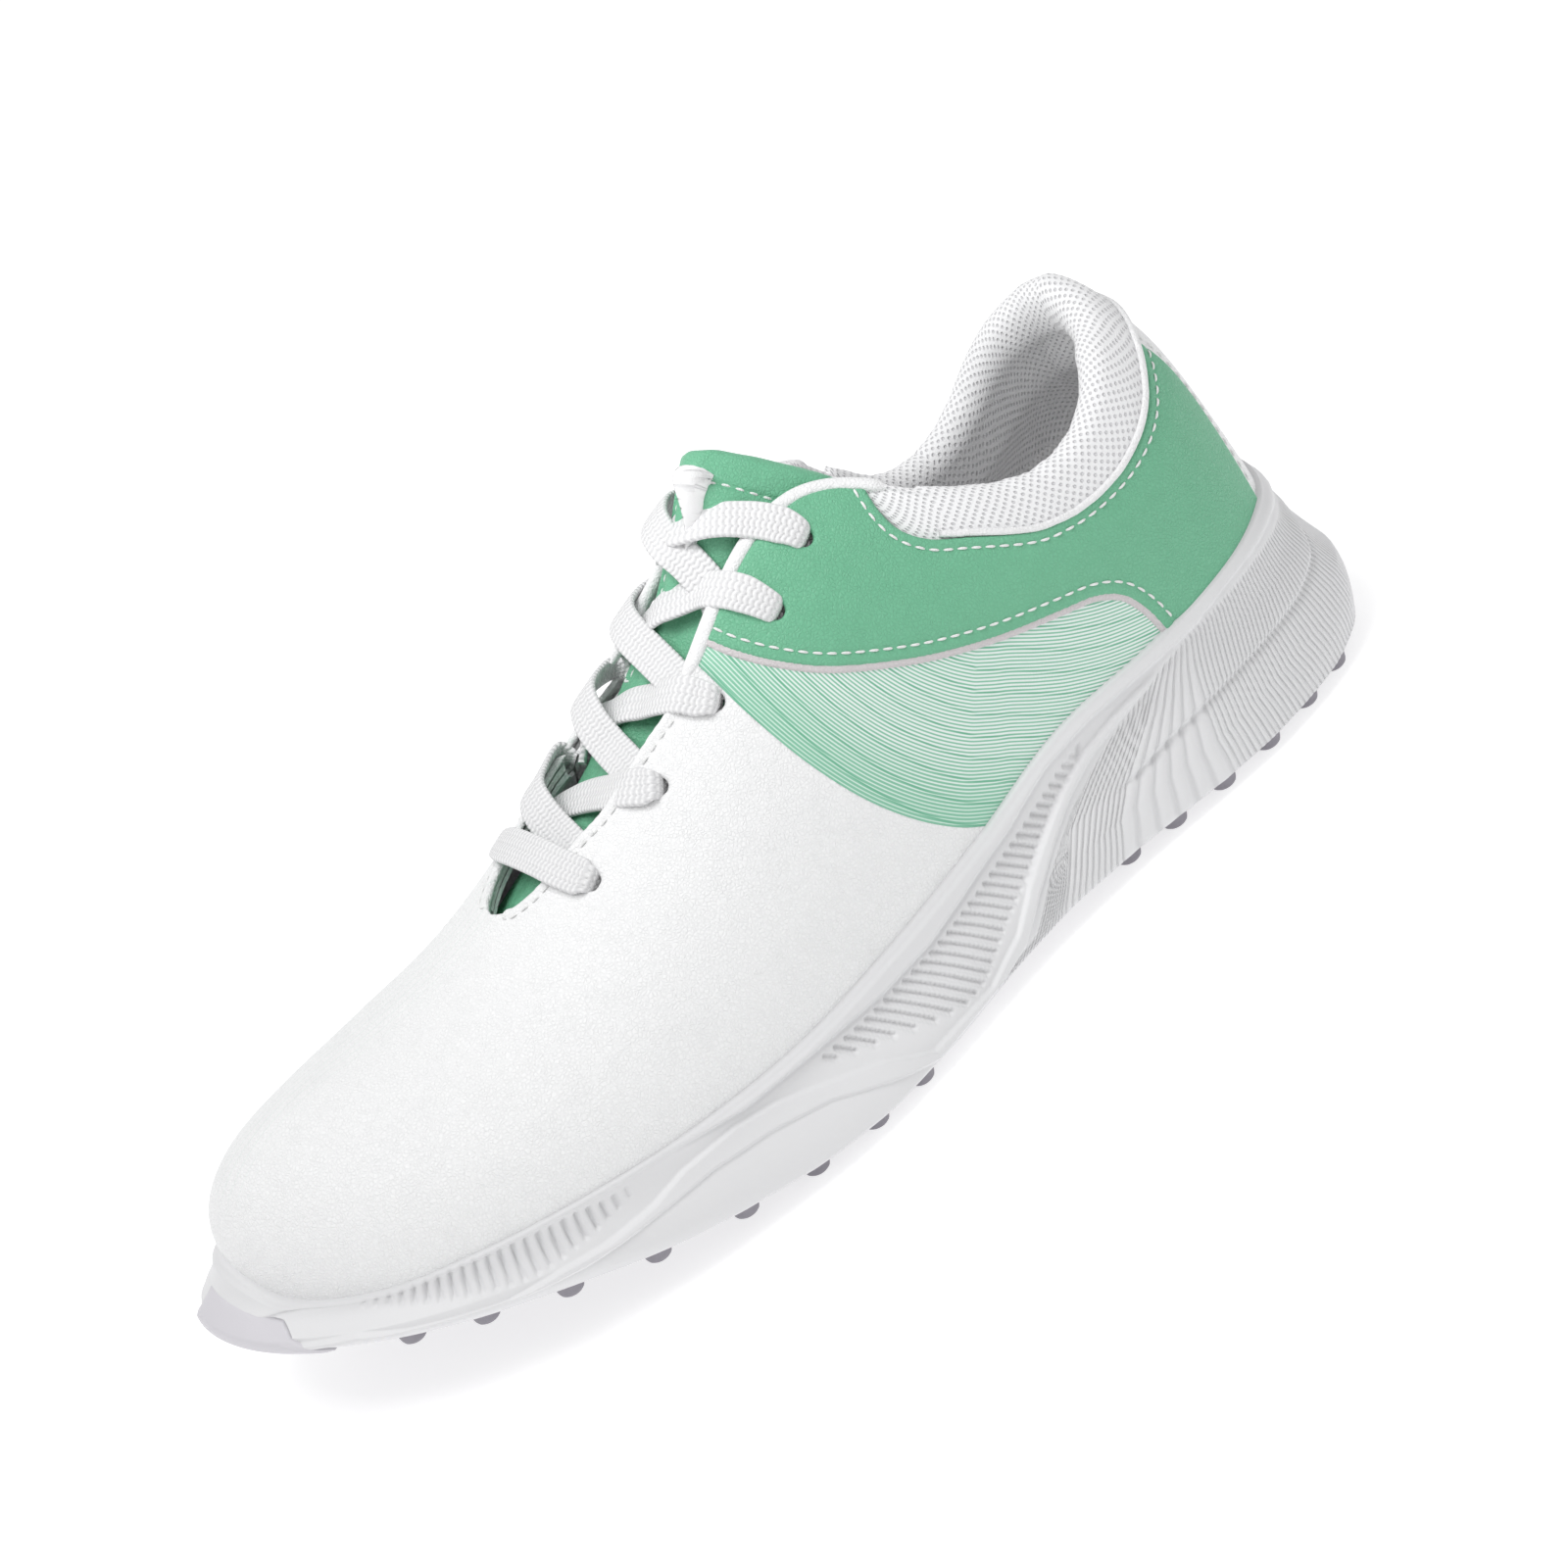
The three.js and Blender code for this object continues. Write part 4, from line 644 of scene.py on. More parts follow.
# green overlays, raised on the quarters, with rolled edges and sewn rows
RAISE = 0.75
for sgn, nm in ((-1, "lateral"), (1, "medial")):
    t0, t1 = (0.2, 7.0) if sgn < 0 else (N - 7.0, N - 0.2)
    tv, tri = patch(t0, t1, 0.0, 0.93, 0.55)
    f_stay = lambda P: np.where(P[:, 0] > 100, np.abs(P[:, 1] - 0.0) - stay_half(P[:, 2]), 20.0)
    fs = [lambda P: R_GREEN(sz(P)), lambda P: -R_ABOVE(sz(P)), f_stay, lambda P: f_throat(P) - 1.0, f_eyes, lambda P: R_COLLAR(sz(P)) - 0.8]
    for fn in fs:
        tv, tri = clip(tv, tri, fn(surf(tv[:, 0], tv[:, 1])))
    tv, tri = weld(tv, tri); P0 = surf(tv[:, 0], tv[:, 1]); B = boundary(tri)
    sel = [np.abs(fn(P0)) < 0.12 for fn in fs]
    kl, kt = kd_of(edge_points(P0, B, sel[0])), kd_of(edge_points(P0, B, sel[1]))
    ks, kth, ke = kd_of(edge_points(P0, B, sel[2])), kd_of(edge_points(P0, B, sel[3])), kd_of(edge_points(P0, B, sel[4]))
    dl, dt, ds, dth, de = (dist_to(k, P0) for k in (kl, kt, ks, kth, ke))
    dmin = np.minimum(np.minimum(dl, dt), np.minimum(ds, np.minimum(dth, de)))
    press = 0.22 * np.exp(-((dl - 2.9) / 0.55) ** 2) + 0.22 * np.exp(-((dt - 2.4) / 0.55) ** 2)
    puff = 0.25 * sst(3.0, 8.0, np.minimum(dl, dt))
    shell("green_overlay_" + nm, tv, tri, -RAISE - puff + 0.9 * roll(dmin, 0.9) / 0.9 * 1.0 + press, np.full(len(tv), 0.35), M_GREEN, replaces=("overlay_" + nm,), slot="green_leather")
    add_stitches(tv, tri, dl, 2.9, out=RAISE - 0.05)
    add_stitches(tv, tri, dt, 2.4, out=RAISE - 0.05)
    # folded light edge that shows past the lower edge
    tv, tri = patch(t0 if sgn < 0 else N - 7.3, 7.3 if sgn < 0 else t1, 0.0, 0.9, 0.45)
    for fn in (lambda P: -R_GREEN(sz(P)) + 0.6, lambda P: R_GREEN(sz(P)) + 1.15, lambda P: f_throat(P) - 0.8):
        tv, tri = clip(tv, tri, fn(surf(tv[:, 0], tv[:, 1])))
    tv, tri = weld(tv, tri); P0 = surf(tv[:, 0], tv[:, 1]); g = R_GREEN(sz(P0)) + 1.15
    shell("overlay_fold_" + nm, tv, tri, -0.42 + roll(g, 0.5), np.full(len(tv), 0.1), M_EDGE, slot="white_leather")

# back stay
tv, tri = patch(-2.4, 2.4, 0.0, 0.9, 0.6)
fs = [lambda P: stay_half(P[:, 2]) + 0.5 - np.abs(P[:, 1]), lambda P: -R_ABOVE(sz(P))]
for fn in fs:
    tv, tri = clip(tv, tri, fn(surf(tv[:, 0], tv[:, 1])))
tv, tri = weld(tv, tri); P0 = surf(tv[:, 0], tv[:, 1]); B = boundary(tri)
d0 = dist_to(kd_of(edge_points(P0, B, np.abs(fs[0](P0)) < 0.12)), P0)
shell("back_stay_strip", tv, tri, -0.55 + roll(d0, 0.6) * 0.9 + 0.15 * np.exp(-((d0 - 2.4) / 0.5) ** 2), np.full(len(tv), 1.3), M_WHITE, replaces=("back_stay",), slot="white_leather")
add_stitches(tv, tri, d0, 2.4, out=0.5)

# ------------------------------------------------------------------ tubes and stitches
def catmull(P, step=0.6):
    P = np.array(P, float); q = np.vstack([2 * P[0] - P[1], P, 2 * P[-1] - P[-2]]); out = []
    for i in range(len(P) - 1):
        a, b, c, d = q[i:i + 4]; n = max(2, int(np.linalg.norm(c - b) / step))
        f = (np.arange(n) / n)[:, None]
        out.append(0.5 * (2 * b + (c - a) * f + (2 * a - 5 * b + 4 * c - d) * f * f + (3 * b - a - 3 * c + d) * f ** 3))
    out.append(P[-1:])
    return np.vstack(out)


def resample(P, step, extra=()):
    L = np.concatenate([[0], np.cumsum(np.linalg.norm(np.diff(P, axis=0), axis=1))])
    n = max(2, int(round(L[-1] / step)) + 1); x = np.linspace(0, L[-1], n)
    f = lambda A: np.column_stack([np.interp(x, L, A[:, i]) for i in range(A.shape[1])])
    return (f(P), x, *[f(A) for A in extra])


def tube(P, U, ra, rb, sides=12, power=2.0):
    """swept section: ra across, rb along U; arrays or numbers. Returns points and faces, ends closed."""
    D = np.gradient(P, axis=0); D = unit(D); S = unit(np.cross(D, U)); U2 = np.cross(S, D)
    a = np.linspace(0, 2 * np.pi, sides, endpoint=False)
    ca, sa = np.cos(a), np.sin(a); ca = np.sign(ca) * np.abs(ca) ** (2 / power); sa = np.sign(sa) * np.abs(sa) ** (2 / power)
    ra = np.broadcast_to(np.asarray(ra, float), (len(P),)); rb = np.broadcast_to(np.asarray(rb, float), (len(P),))
    Q = P[:, None] + S[:, None] * (ra[:, None] * ca)[..., None] + U2[:, None] * (rb[:, None] * sa)[..., None]
    n = len(P); F = grid_tris(n, sides, True)[:, ::-1]
    ends = np.vstack([P[:1], P[-1:]]); V = np.vstack([Q.reshape(-1, 3), ends]); i = np.arange(sides); j = (i + 1) % sides
    F = np.vstack([F, np.stack([np.full(sides, n * sides), i, j], 1), np.stack([np.full(sides, n * sides + 1), (n - 1) * sides + j, (n - 1) * sides + i], 1)])
    return V, F, ca


def merge(parts):
    V, F, o = [], [], 0
    for v, f in parts:
        V.append(v); F.append(f + o); o += len(v)
    return np.vstack(V), np.vstack(F)


DIP = np.array([[36, 0], [41, 1.0], [46, 2.6], [50, 3.6], [55, 4.6], [61, 5.6], [67, 6.6], [75, 6.4], [84, 4], [92, 0]], float)


def szc(P):  # the collar dips lower on the medial side
    q = sz(P); q[:, 1] += np.where(P[:, 1] > 0, np.interp(q[:, 0], DIP[:, 0], DIP[:, 1]) * sst(2, 14, P[:, 1]), 0.0)
    return q


# throat binding, from the collar's front round the top of the throat edge
tv, tri = patch(4.0, 9.6, 0.45, 1.0, 0.6)
P0 = surf(tv[:, 0], tv[:, 1])
g = np.minimum(f_throat(P0), R_COLLAR(sz(P0)))
lines = isolines(tv, tri, g, 0.0)
line = max(lines, key=len)
P1 = surf(line[:, 0], line[:, 1]); s1 = HALF - P1[:, 0]
if s1[0] > s1[-1]:
    line, s1 = line[::-1], s1[::-1]
keep = (s1 > 88.5) & (s1 < 151)
line = line[keep]
bind = []
BIND_KD = []
for sgn in (-1, 1):
    t_ = line[:, 0] if sgn < 0 else N - line[:, 0]
    Pb = at(t_, line[:, 1], np.full(len(t_), 0.45)); Ub = outward(t_, line[:, 1])
    Pb, x, Ub = resample(Pb, 0.7, (Ub,)); k = np.ones(9) / 9
    Pb = np.column_stack([np.convolve(np.pad(Pb[:, i], 4, "edge"), k, "valid") for i in range(3)])
    e = np.minimum(sst(-0.5, 4, x), sst(-0.5, 6, x[-1] - x)); w = 1.55 + 0.25 * sst(0, 20, x) * sst(0, 14, x[-1] - x)
    bind.append(tube(Pb, unit(Ub), w * (0.35 + 0.65 * e), 1.45 * (0.3 + 0.7 * e), 14, 2.2)[:2]); BIND_KD.append(Pb)
V, F = merge(bind)
make("throat_binding", V, F, M_BIND, slot="white_leather")

# padded collar: one closed roll round the mouth
rows, urow = [], []
TT = np.concatenate([np.linspace(-5.22, 5.22, 420)])
vs = np.linspace(0.02, 0.98, 240)
padlow = np.array([[-20, 62], [20, 62], [36, 56], [56, 53], [72, 57], [84, 66], [92, 76], [97, 84], [110, 92]], float)
arc_run = 0.0; prev = None
for t_ in TT:
    P = surf(np.full(len(vs), t_), vs); q = szc(P)
    ctop = R_COLLAR(q); gtop = R_ABOVE(q)
    i_c = np.flatnonzero(ctop > 0)
    v_c = vs[i_c[-1]] if len(i_c) else 0.8
    if len(i_c) and i_c[-1] + 1 < len(vs):
        a, b = ctop[i_c[-1]], ctop[i_c[-1] + 1]; v_c += (vs[1] - vs[0]) * a / (a - b)
    above = np.flatnonzero((gtop > 0) & (vs < v_c + 0.02))
    v_g = vs[above[0]] if len(above) else v_c
    if len(above) and above[0] > 0:
        a, b = gtop[above[0] - 1], gtop[above[0]]; v_g = vs[above[0] - 1] + (vs[1] - vs[0]) * (-a) / (b - a)
    v_g = min(v_g, v_c)
    s_here = float(np.interp(v_c, vs, q[:, 0])); edge = float(sst(5.22, 4.3, abs(t_)))
    r = 1.5 + 3.3 * edge * float(sst(99, 84, s_here))
    ds = np.linalg.norm(surf(t_, v_c) - surf(t_, v_c - 0.01)) / 0.01
    cand = vs[(vs > v_c - 1.6 * r / ds) & (vs < v_c + 0.02)]; Pc = surf(np.full(len(cand), t_), cand); nc_ = outward(np.full(len(cand), t_), cand)
    q_c = szc(Pc - nc_ * r); z_want = tab(COLLAR, s_here) - (q_c[:, 1] - (Pc - nc_ * r)[:, 2]) * edge
    hh = Pc[:, 2] - nc_[:, 2] * (r - 0.3) + r - z_want
    v_m = float(cand[np.argmin(np.abs(hh))])
    v_m = v_m if edge > 0.5 else v_c - 0.86 * r / ds
    v_g = min(v_g, v_m + 0.5 / ds)
    v_g2 = min(v_g, v_m) - 2.2 / ds
    zl = float(tab(padlow, s_here))
    below_ = np.flatnonzero(P[:, 2] < zl); v_l = vs[below_[-1]] if len(below_) else 0.3
    v_l = min(v_l, v_m - 4 / ds)
    o1 = np.linspace(v_g2, v_m, 14); d1 = 0.75 - 1.05 * sst(0, 0.35, np.linspace(0, 1, 14)) * min(1, edge + .2)
    nm = outward(t_, v_m); Tm = unit(surf(t_, v_m + 1e-3) - surf(t_, v_m - 1e-3)); C = surf(t_, v_m) - nm * (r - 0.3)
    ph = np.linspace(0.12, math.pi, 22); circ = C + r * (np.cos(ph)[:, None] * nm + np.sin(ph)[:, None] * Tm)
    o2 = np.linspace(v_m, v_l, 26)[1:]; kk = np.linspace(0, 1, 26)[1:]
    d2 = (2 * r - 0.3) + (3.7 - (2 * r - 0.3)) * sst(0.45, 1.0, kk) + 0.5 * np.sin(np.pi * kk) * edge
    o3 = np.array([v_l, (v_l + v_g2) / 2]); d3 = np.array([2.8, 2.8])
    o4 = np.array([v_g2]); d4 = np.array([1.6])
    row = np.vstack([at(np.full(14, t_), o1, d1), circ, at(np.full(25, t_), o2, d2), at(np.full(2, t_), o3, d3), at(np.full(1, t_), o4, d4)])
    lift = float(np.interp(t_, [-4.4, -3.5, -2.6, -1.8, -0.9, 0, 1, 2, 3.2], [0, 2.5, 5, 7, 7.5, 5.5, 3.5, 1.5, 0])); zt = row[:, 2].max()
    row[:, 2] += lift * sst(zt - 14, zt - 1, row[:, 2])
    step = 0 if prev is None else float(np.linalg.norm(row[20] - prev)); prev = row[20]; arc_run += step
    L = np.concatenate([[0], np.cumsum(np.linalg.norm(np.diff(row, axis=0), axis=1))])
    rows.append(row); urow.append(np.column_stack([np.full(len(row), arc_run), L]))
R = np.array(rows); nr, nc = R.shape[:2]
# ends drawn in so that the roll tapers under the throat binding
for e_, i0 in ((np.linspace(1, 0, 14), 0), (np.linspace(0, 1, 14), nr - 14)):
    for j, w in enumerate(e_):
        c = R[i0 + j].mean(0); R[i0 + j] = R[i0 + j] * (1 - 0.35 * w * w) + c * 0.35 * w * w
F = grid_tris(nr, nc, True)[:, ::-1]; V = R.reshape(-1, 3)
caps = []
for i0, fl in ((0, False), (nr - 1, True)):
    c = len(V); V = np.vstack([V, R[i0].mean(0)[None]]); i = np.arange(nc) + i0 * nc; j = (np.arange(nc) + 1) % nc + i0 * nc
    caps.append(np.stack([np.full(nc, c), j, i] if fl else [np.full(nc, c), i, j], 1))
uvp = np.vstack([np.concatenate(urow), [[0, 0], [0, 0]]])
pad = make("collar_roll", V, np.vstack([F] + caps), M_MESH, replaces=("collar_pad",), slot="collar_mesh", uv=uvp)
# thin white edge between the mesh and the green
edge_rows = []
for t_, row in zip(TT, R):
    edge_rows.append(row[3])
Pe = np.array(edge_rows); Ue = np.array([outward(t_, 0.6) for t_ in TT])
ok = np.array([abs(t_) < 4.9 for t_ in TT]); Pe, _, Ue = resample(Pe[ok], 0.8, (Ue[ok],)); Pe = Pe + unit(Ue) * 0.5
make("collar_edge_piping", *tube(Pe, unit(Ue), 0.8, 0.75, 10)[:2], M_BIND, slot="white_leather")

# lining inside the mouth and under the flaps
tv, tri = patch(-8.9, 8.9, 0.02, 0.98, 1.0)
P0f = lambda P: np.interp(HALF - P[:, 0], padlow[:, 0], padlow[:, 1]) + 5 - P[:, 2] + np.where(HALF - P[:, 0] > 97, 200, 0)
for fn in (P0f, f_throat, f_eyes, lambda P: 168 - (HALF - P[:, 0]), lambda P: R_COLLAR(sz(P)) - 1.5, lambda P: P[:, 2] - tab(BED, HALF - P[:, 0]) - 1):
    tv, tri = clip(tv, tri, fn(surf(tv[:, 0], tv[:, 1])))
tv, tri = weld(tv, tri)
shell("lining_mesh", tv, tri, np.full(len(tv), 2.95), np.full(len(tv), 3.85), M_LININGMESH, replaces=("quarter_lining",), slot="lining",
      uv=np.column_stack([(tv[:, 0]) * 27.0, tv[:, 1] * 100]))

# ------------------------------------------------------------------ tongue
CREST = [[210, 58], [206, 61], [190, 66.5], [180, 70.5], [170, 75], [160, 81], [150, 88], [140, 96], [132, 105], [127, 111], [123, 116]]
SB = 123.0


def column_at(x, side):
    lo, hi = 3.0, 12.0
    for _ in range(40):
        m = (lo + hi) / 2
        if ring(COL, m)[3] > x: lo = m
        else: hi = m
    return lo if side < 0 else N - lo


Q1 = np.linspace(-1, 1, 97)
SS = np.concatenate([np.linspace(211, SB, 110)])
tong = []
thr_r = np.array(THROAT)[::-1]
for s_ in SS:
    x = HALF - s_; tl = column_at(x, -1); wq = 1.0 if s_ < 170 else 0.72 + 0.28 * min(1, (211 - s_) / 41)
    qa = np.abs(Q1) * wq; tcol = np.where(Q1 < 0, tl, N - tl); v = 1 - qa * 0.38
    sink = 3.6 * np.clip((146 - s_) / 22, 0, 1) * qa
    P = at(tcol, np.minimum(v, 0.985), 6.2 + sink)
    yc = float(instep_y(s_)); mid = surf(tl, 0.9999); k = sst(0.30, 0.0, qa)[:, None]
    m3 = np.column_stack([np.full(len(Q1), x), yc + (P[:, 1] - yc) * 1.0, P[:, 2]])
    w_e = float(np.interp(s_, thr_r[:, 0], thr_r[:, 1])); dy = np.abs(P[:, 1] - yc); ze = float(np.interp(w_e, dy[Q1 >= 0], P[Q1 >= 0, 2])) if w_e > 0.5 else P[:, 2].max()
    zc = float(tab(np.array(CREST)[::-1], s_)); rim = 0.35 + w_e
    inside = dy < rim; hump = np.clip(1 - (dy / max(rim, 1)) ** 2, 0, 1)
    low = np.minimum(P[:, 2], ze)
    zz = np.where(inside, ze + (zc - ze) * hump ** 0.9, P[:, 2])
    f = sst(211, 200, s_)
    P = P.copy(); P[:, 2] = P[:, 2] * (1 - f) + zz * f; P[:, 0] = P[:, 0] * (1 - k[:, 0]) + x * k[:, 0]
    tong.append(P)
tong = np.array(tong)
ARCH = np.array([[-10.5, 92.5, 98.5], [-8.8, 95, 102.5], [-6, 100.7, 109], [-2, 106, 115], [2.6, 110.6, 119.8], [8, 113.4, 120.7], [12, 113.6, 119.0], [15, 111, 114], [17, 107, 107.5]])
base = tong[-1]; yq = 3.2 + Q1 * 13.7
E = np.column_stack([HALF - np.interp(yq, ARCH[:, 0], ARCH[:, 1]), yq, np.interp(yq, ARCH[:, 0], ARCH[:, 2])])
tan0 = (tong[-1] - tong[-8]); tan0 = unit(tan0) * np.linalg.norm(E - base, axis=1)[:, None] * 1.0
tan1 = unit(np.column_stack([np.full(len(Q1), 1.0), np.zeros(len(Q1)), 0.55 * np.ones(len(Q1)) * sst(0.0, 0.6, np.abs(Q1))])) * np.linalg.norm(E - base, axis=1)[:, None] * 0.9
free = []
for f in np.linspace(0, 1, 44)[1:]:
    h00, h10, h01, h11 = 2 * f ** 3 - 3 * f ** 2 + 1, f ** 3 - 2 * f ** 2 + f, -2 * f ** 3 + 3 * f ** 2, f ** 3 - f ** 2
    free.append(h00 * base + h10 * tan0 + h01 * E + h11 * tan1)
TG = np.vstack([tong, np.array(free)])
k = np.ones(7) / 7
TG = np.stack([np.stack([np.convolve(np.pad(TG[:, j, i], 3, "edge"), k, "valid") for i in range(3)], 1) for j in range(TG.shape[1])], 1)
TG = np.stack([np.stack([np.convolve(np.pad(TG[r, :, i], 3, mode="reflect", reflect_type="odd"), k, "valid") for i in range(3)], 1) for r in range(TG.shape[0])], 0)
dr, dq = np.gradient(TG, axis=0), np.gradient(TG, axis=1)
TN = unit(np.cross(dr, dq)); TN = TN if np.median(TN[..., 2]) > 0 else -TN
nR, nQ = TG.shape[:2]
lr = np.concatenate([[0], np.cumsum(np.linalg.norm(np.diff(TG[:, nQ // 2], axis=0), axis=1))])
lq = np.concatenate([np.zeros((nR, 1)), np.cumsum(np.linalg.norm(np.diff(TG, axis=1), axis=2), axis=1)], 1)
d_end = np.stack([np.concatenate([np.cumsum(np.linalg.norm(np.diff(TG[:, j], axis=0), axis=1)[::-1])[::-1], [0]]) for j in range(nQ)], 1)
d_side = np.minimum(lq, lq[:, -1:] - lq); d_edge = np.minimum(d_end, d_side)
thick = 4.4 + 2.2 * sst(40, 8, d_end)
half = thick / 2 * np.sqrt(np.clip(1 - (1 - np.clip(d_edge / 3.1, 0, 1)) ** 2, 0.0, 1))
row_d = np.minimum(d_end, d_side + 7.0)
groove = 0.65 * np.exp(-((row_d - 12.0) / 0.9) ** 2) * sst(58, 52, d_end)
MID = TG - TN * (thick / 2)[..., None]
TOP = MID + TN * (half - groove)[..., None]; BOT = MID - TN * half[..., None]
V = np.vstack([TOP.reshape(-1, 3), BOT.reshape(-1, 3)]); F0 = grid_tris(nR, nQ); n0 = nR * nQ
nrm = np.cross(V[F0[:, 1]] - V[F0[:, 0]], V[F0[:, 2]] - V[F0[:, 0]])
if np.median(nrm[:, 2]) < 0:
    F0 = F0[:, ::-1]
B = boundary(F0)
F = np.vstack([F0, F0[:, ::-1] + n0, np.stack([B[:, 1], B[:, 0], B[:, 0] + n0], 1), np.stack([B[:, 1], B[:, 0] + n0, B[:, 1] + n0], 1)])
cen = (np.arange(len(F)) < len(F0)); de_f = d_edge.reshape(-1)
fm = np.where(cen, 0, 1).astype(np.int32)
uvt = np.vstack([np.column_stack([np.broadcast_to(lr[:, None], (nR, nQ)).ravel(), lq.ravel()])] * 2)
tg = make("tongue", V, F, None, "tongue", ("tongue_face", "tongue_lining", "tongue_foam"), "green_leather", uvt, mats=[M_GREEN, M_LININGMESH], fmat=fm)
# the tongue's sewn row
tst = []
lvl = isolines(np.column_stack([np.broadcast_to(np.arange(nR)[:, None], (nR, nQ)).ravel(), np.broadcast_to(np.arange(nQ)[None], (nR, nQ)).ravel()]).astype(float), F0, row_d.ravel() + 100 * (d_end.ravel() > 55), 12.0)


def grid_pick(G, rc):
    r, c = rc[:, 0], rc[:, 1]; r0 = np.clip(np.floor(r).astype(int), 0, nR - 2); c0 = np.clip(np.floor(c).astype(int), 0, nQ - 2); a = (r - r0)[:, None]; b = (c - c0)[:, None]
    return G[r0, c0] * (1 - a) * (1 - b) + G[r0 + 1, c0] * a * (1 - b) + G[r0, c0 + 1] * (1 - a) * b + G[r0 + 1, c0 + 1] * a * b


def capsules(lines, pitch=3.1, length=2.15, w=0.3, h=0.24):
    parts = []
    for P, Nn in lines:
        P2, x, N2 = resample(P, 0.35, (Nn,)); N2 = unit(N2)
        n = int(x[-1] / pitch)
        for i in range(n):
            a = (i + 0.5) * pitch; u = a + np.linspace(-length / 2, length / 2, 7)
            C = np.column_stack([np.interp(u, x, P2[:, j]) for j in range(3)]); U = unit(np.column_stack([np.interp(u, x, N2[:, j]) for j in range(3)]))
            e = np.array([0.35, 0.85, 1, 1, 1, 0.85, 0.35]); C = C + U * (np.array([-0.22, 0.0, 0.10, 0.13, 0.10, 0.0, -0.22]))[:, None]
            parts.append(tube(C, U, w * e, h * e, 7)[:2])
    return merge(parts)


tl_ = [(grid_pick(TOP, L), grid_pick(TN, L)) for L in lvl if len(L) > 30]
if tl_:
    V, F = capsules(tl_)
    make("tongue_stitches", V, F, M_THREAD, "tongue", slot="lace_webbing")
V, F = capsules(STITCHES)
make("upper_stitches", V, F, M_THREAD, slot="lace_webbing")

# ------------------------------------------------------------------ lace
LT, LW = 1.7, 8.5
sub = TOP[::2, ::3].reshape(-1, 3); subn = TN[::2, ::3].reshape(-1, 3); kd_tg = kd_of(sub)


def edge_point(k, side, depth):
    t_, v_ = eyes[k][side]; p = surf(t_, v_); s_ = HALF - p[0]
    w = float(np.interp(s_, thr_r[:, 0], thr_r[:, 1])); te, ve = param_at(p[0], float(instep_y(s_)) + side * (w + 0.2))
    return at(te, ve, depth), outward(te, ve)


lace_parts, lace_uv = [], []


def lace_band(ctrl, ups, ws, lift_n=1.0, avoid=True, extra=0.0, hidden=True):
    ctrl = np.array(ctrl, float); P = catmull(ctrl, 0.8)
    L = np.concatenate([[0], np.cumsum(np.linalg.norm(np.diff(ctrl, axis=0), axis=1))]); Lp = np.concatenate([[0], np.cumsum(np.linalg.norm(np.diff(P, axis=0), axis=1))]); Lp = Lp / Lp[-1] * L[-1]
    U = unit(np.column_stack([np.interp(Lp, L, np.array(ups)[:, j]) for j in range(3)])); W = np.interp(Lp, L, ws)
    if avoid:
        add = np.zeros(len(P))
        for i, p in enumerate(P):
            _, j, dist = kd_tg.find(p)
            if dist < 14:
                gap = float((p - sub[j]) @ subn[j]); need = 0.35 + LT / 2 + extra
                add[i] = min(3.5, max(0.0, need - gap)) if L[1 if hidden else 0] + 1 < Lp[i] < Lp[-1] - 5 else 0
        kk = np.ones(9) / 9; add = np.maximum(add, np.convolve(np.pad(add, 4, "edge"), kk, "valid")); add = np.convolve(np.pad(add, 4, "edge"), kk, "valid")
        P = P + U * add[:, None]
    th = np.full(len(P), LT / 2)
    V, F, ca = tube(P, U, W / 2, th, 26, 3.4)
    uv = np.column_stack([np.repeat(Lp, 26), np.tile(ca, len(P))]); uv = np.vstack([uv, [[0, 0], [0, 0]]])
    lace_parts.append((V, F)); lace_uv.append(uv)


COURSE_A = [  # under the medial flap, over the tongue and the lateral flap: (s, y, z) of the middle of the lace
    [(183.5, 19.5, 67.6), (179, 13, 71), (174.7, 2.2, 74), (173.4, -7, 76.6), (172.0, -13.8, 78.3), (170.0, -17.2, 77.9)],
    [(161.5, 19, 78.5), (159, 11, 81.5), (155.0, -0.2, 84.3), (153.6, -8, 86.9), (151.8, -14.3, 87.9), (149.8, -17.6, 86.2)],
    [(145.5, 18.5, 88), (142.8, 11, 92.5), (137.8, 0.4, 97.4), (133.4, -6.2, 99.4), (131.6, -11.8, 99.9), (129.0, -16.6, 97.6)],
    [(127.5, 18.4, 96.5), (127.5, 10, 104.5), (126.5, 1.0, 108.3), (121.8, -5.2, 109.0), (117.0, -9.8, 106.8), (113.2, -14.0, 103.4)]]
COURSE_B = [  # under the lateral flap, over the tongue and the medial flap
    [(187.0, -11, 68), (185.8, -4, 70.5), (184.8, 3, 72.6), (183.6, 9, 75.2), (181.2, 14.5, 76.8), (176.5, 18.4, 76.8)],
    [(169.0, -14, 76.5), (167.0, -7, 78.5), (165.6, 1, 81), (164.2, 7.5, 84.4), (160.8, 14.2, 86.8), (155.5, 18.6, 86.0)],
    [(150.5, -14.5, 86), (148.6, -7, 88.8), (147.6, 0, 91.6), (146.6, 7.5, 94.8), (143.8, 14.2, 96.3), (137.5, 18.6, 95.0)],
    [(134.0, -14, 93), (131.6, -8.5, 98.0), (131.0, -2, 104.4), (131.0, 4, 108.6), (128.0, 11, 110.6), (121.5, 16.5, 108.6)]]
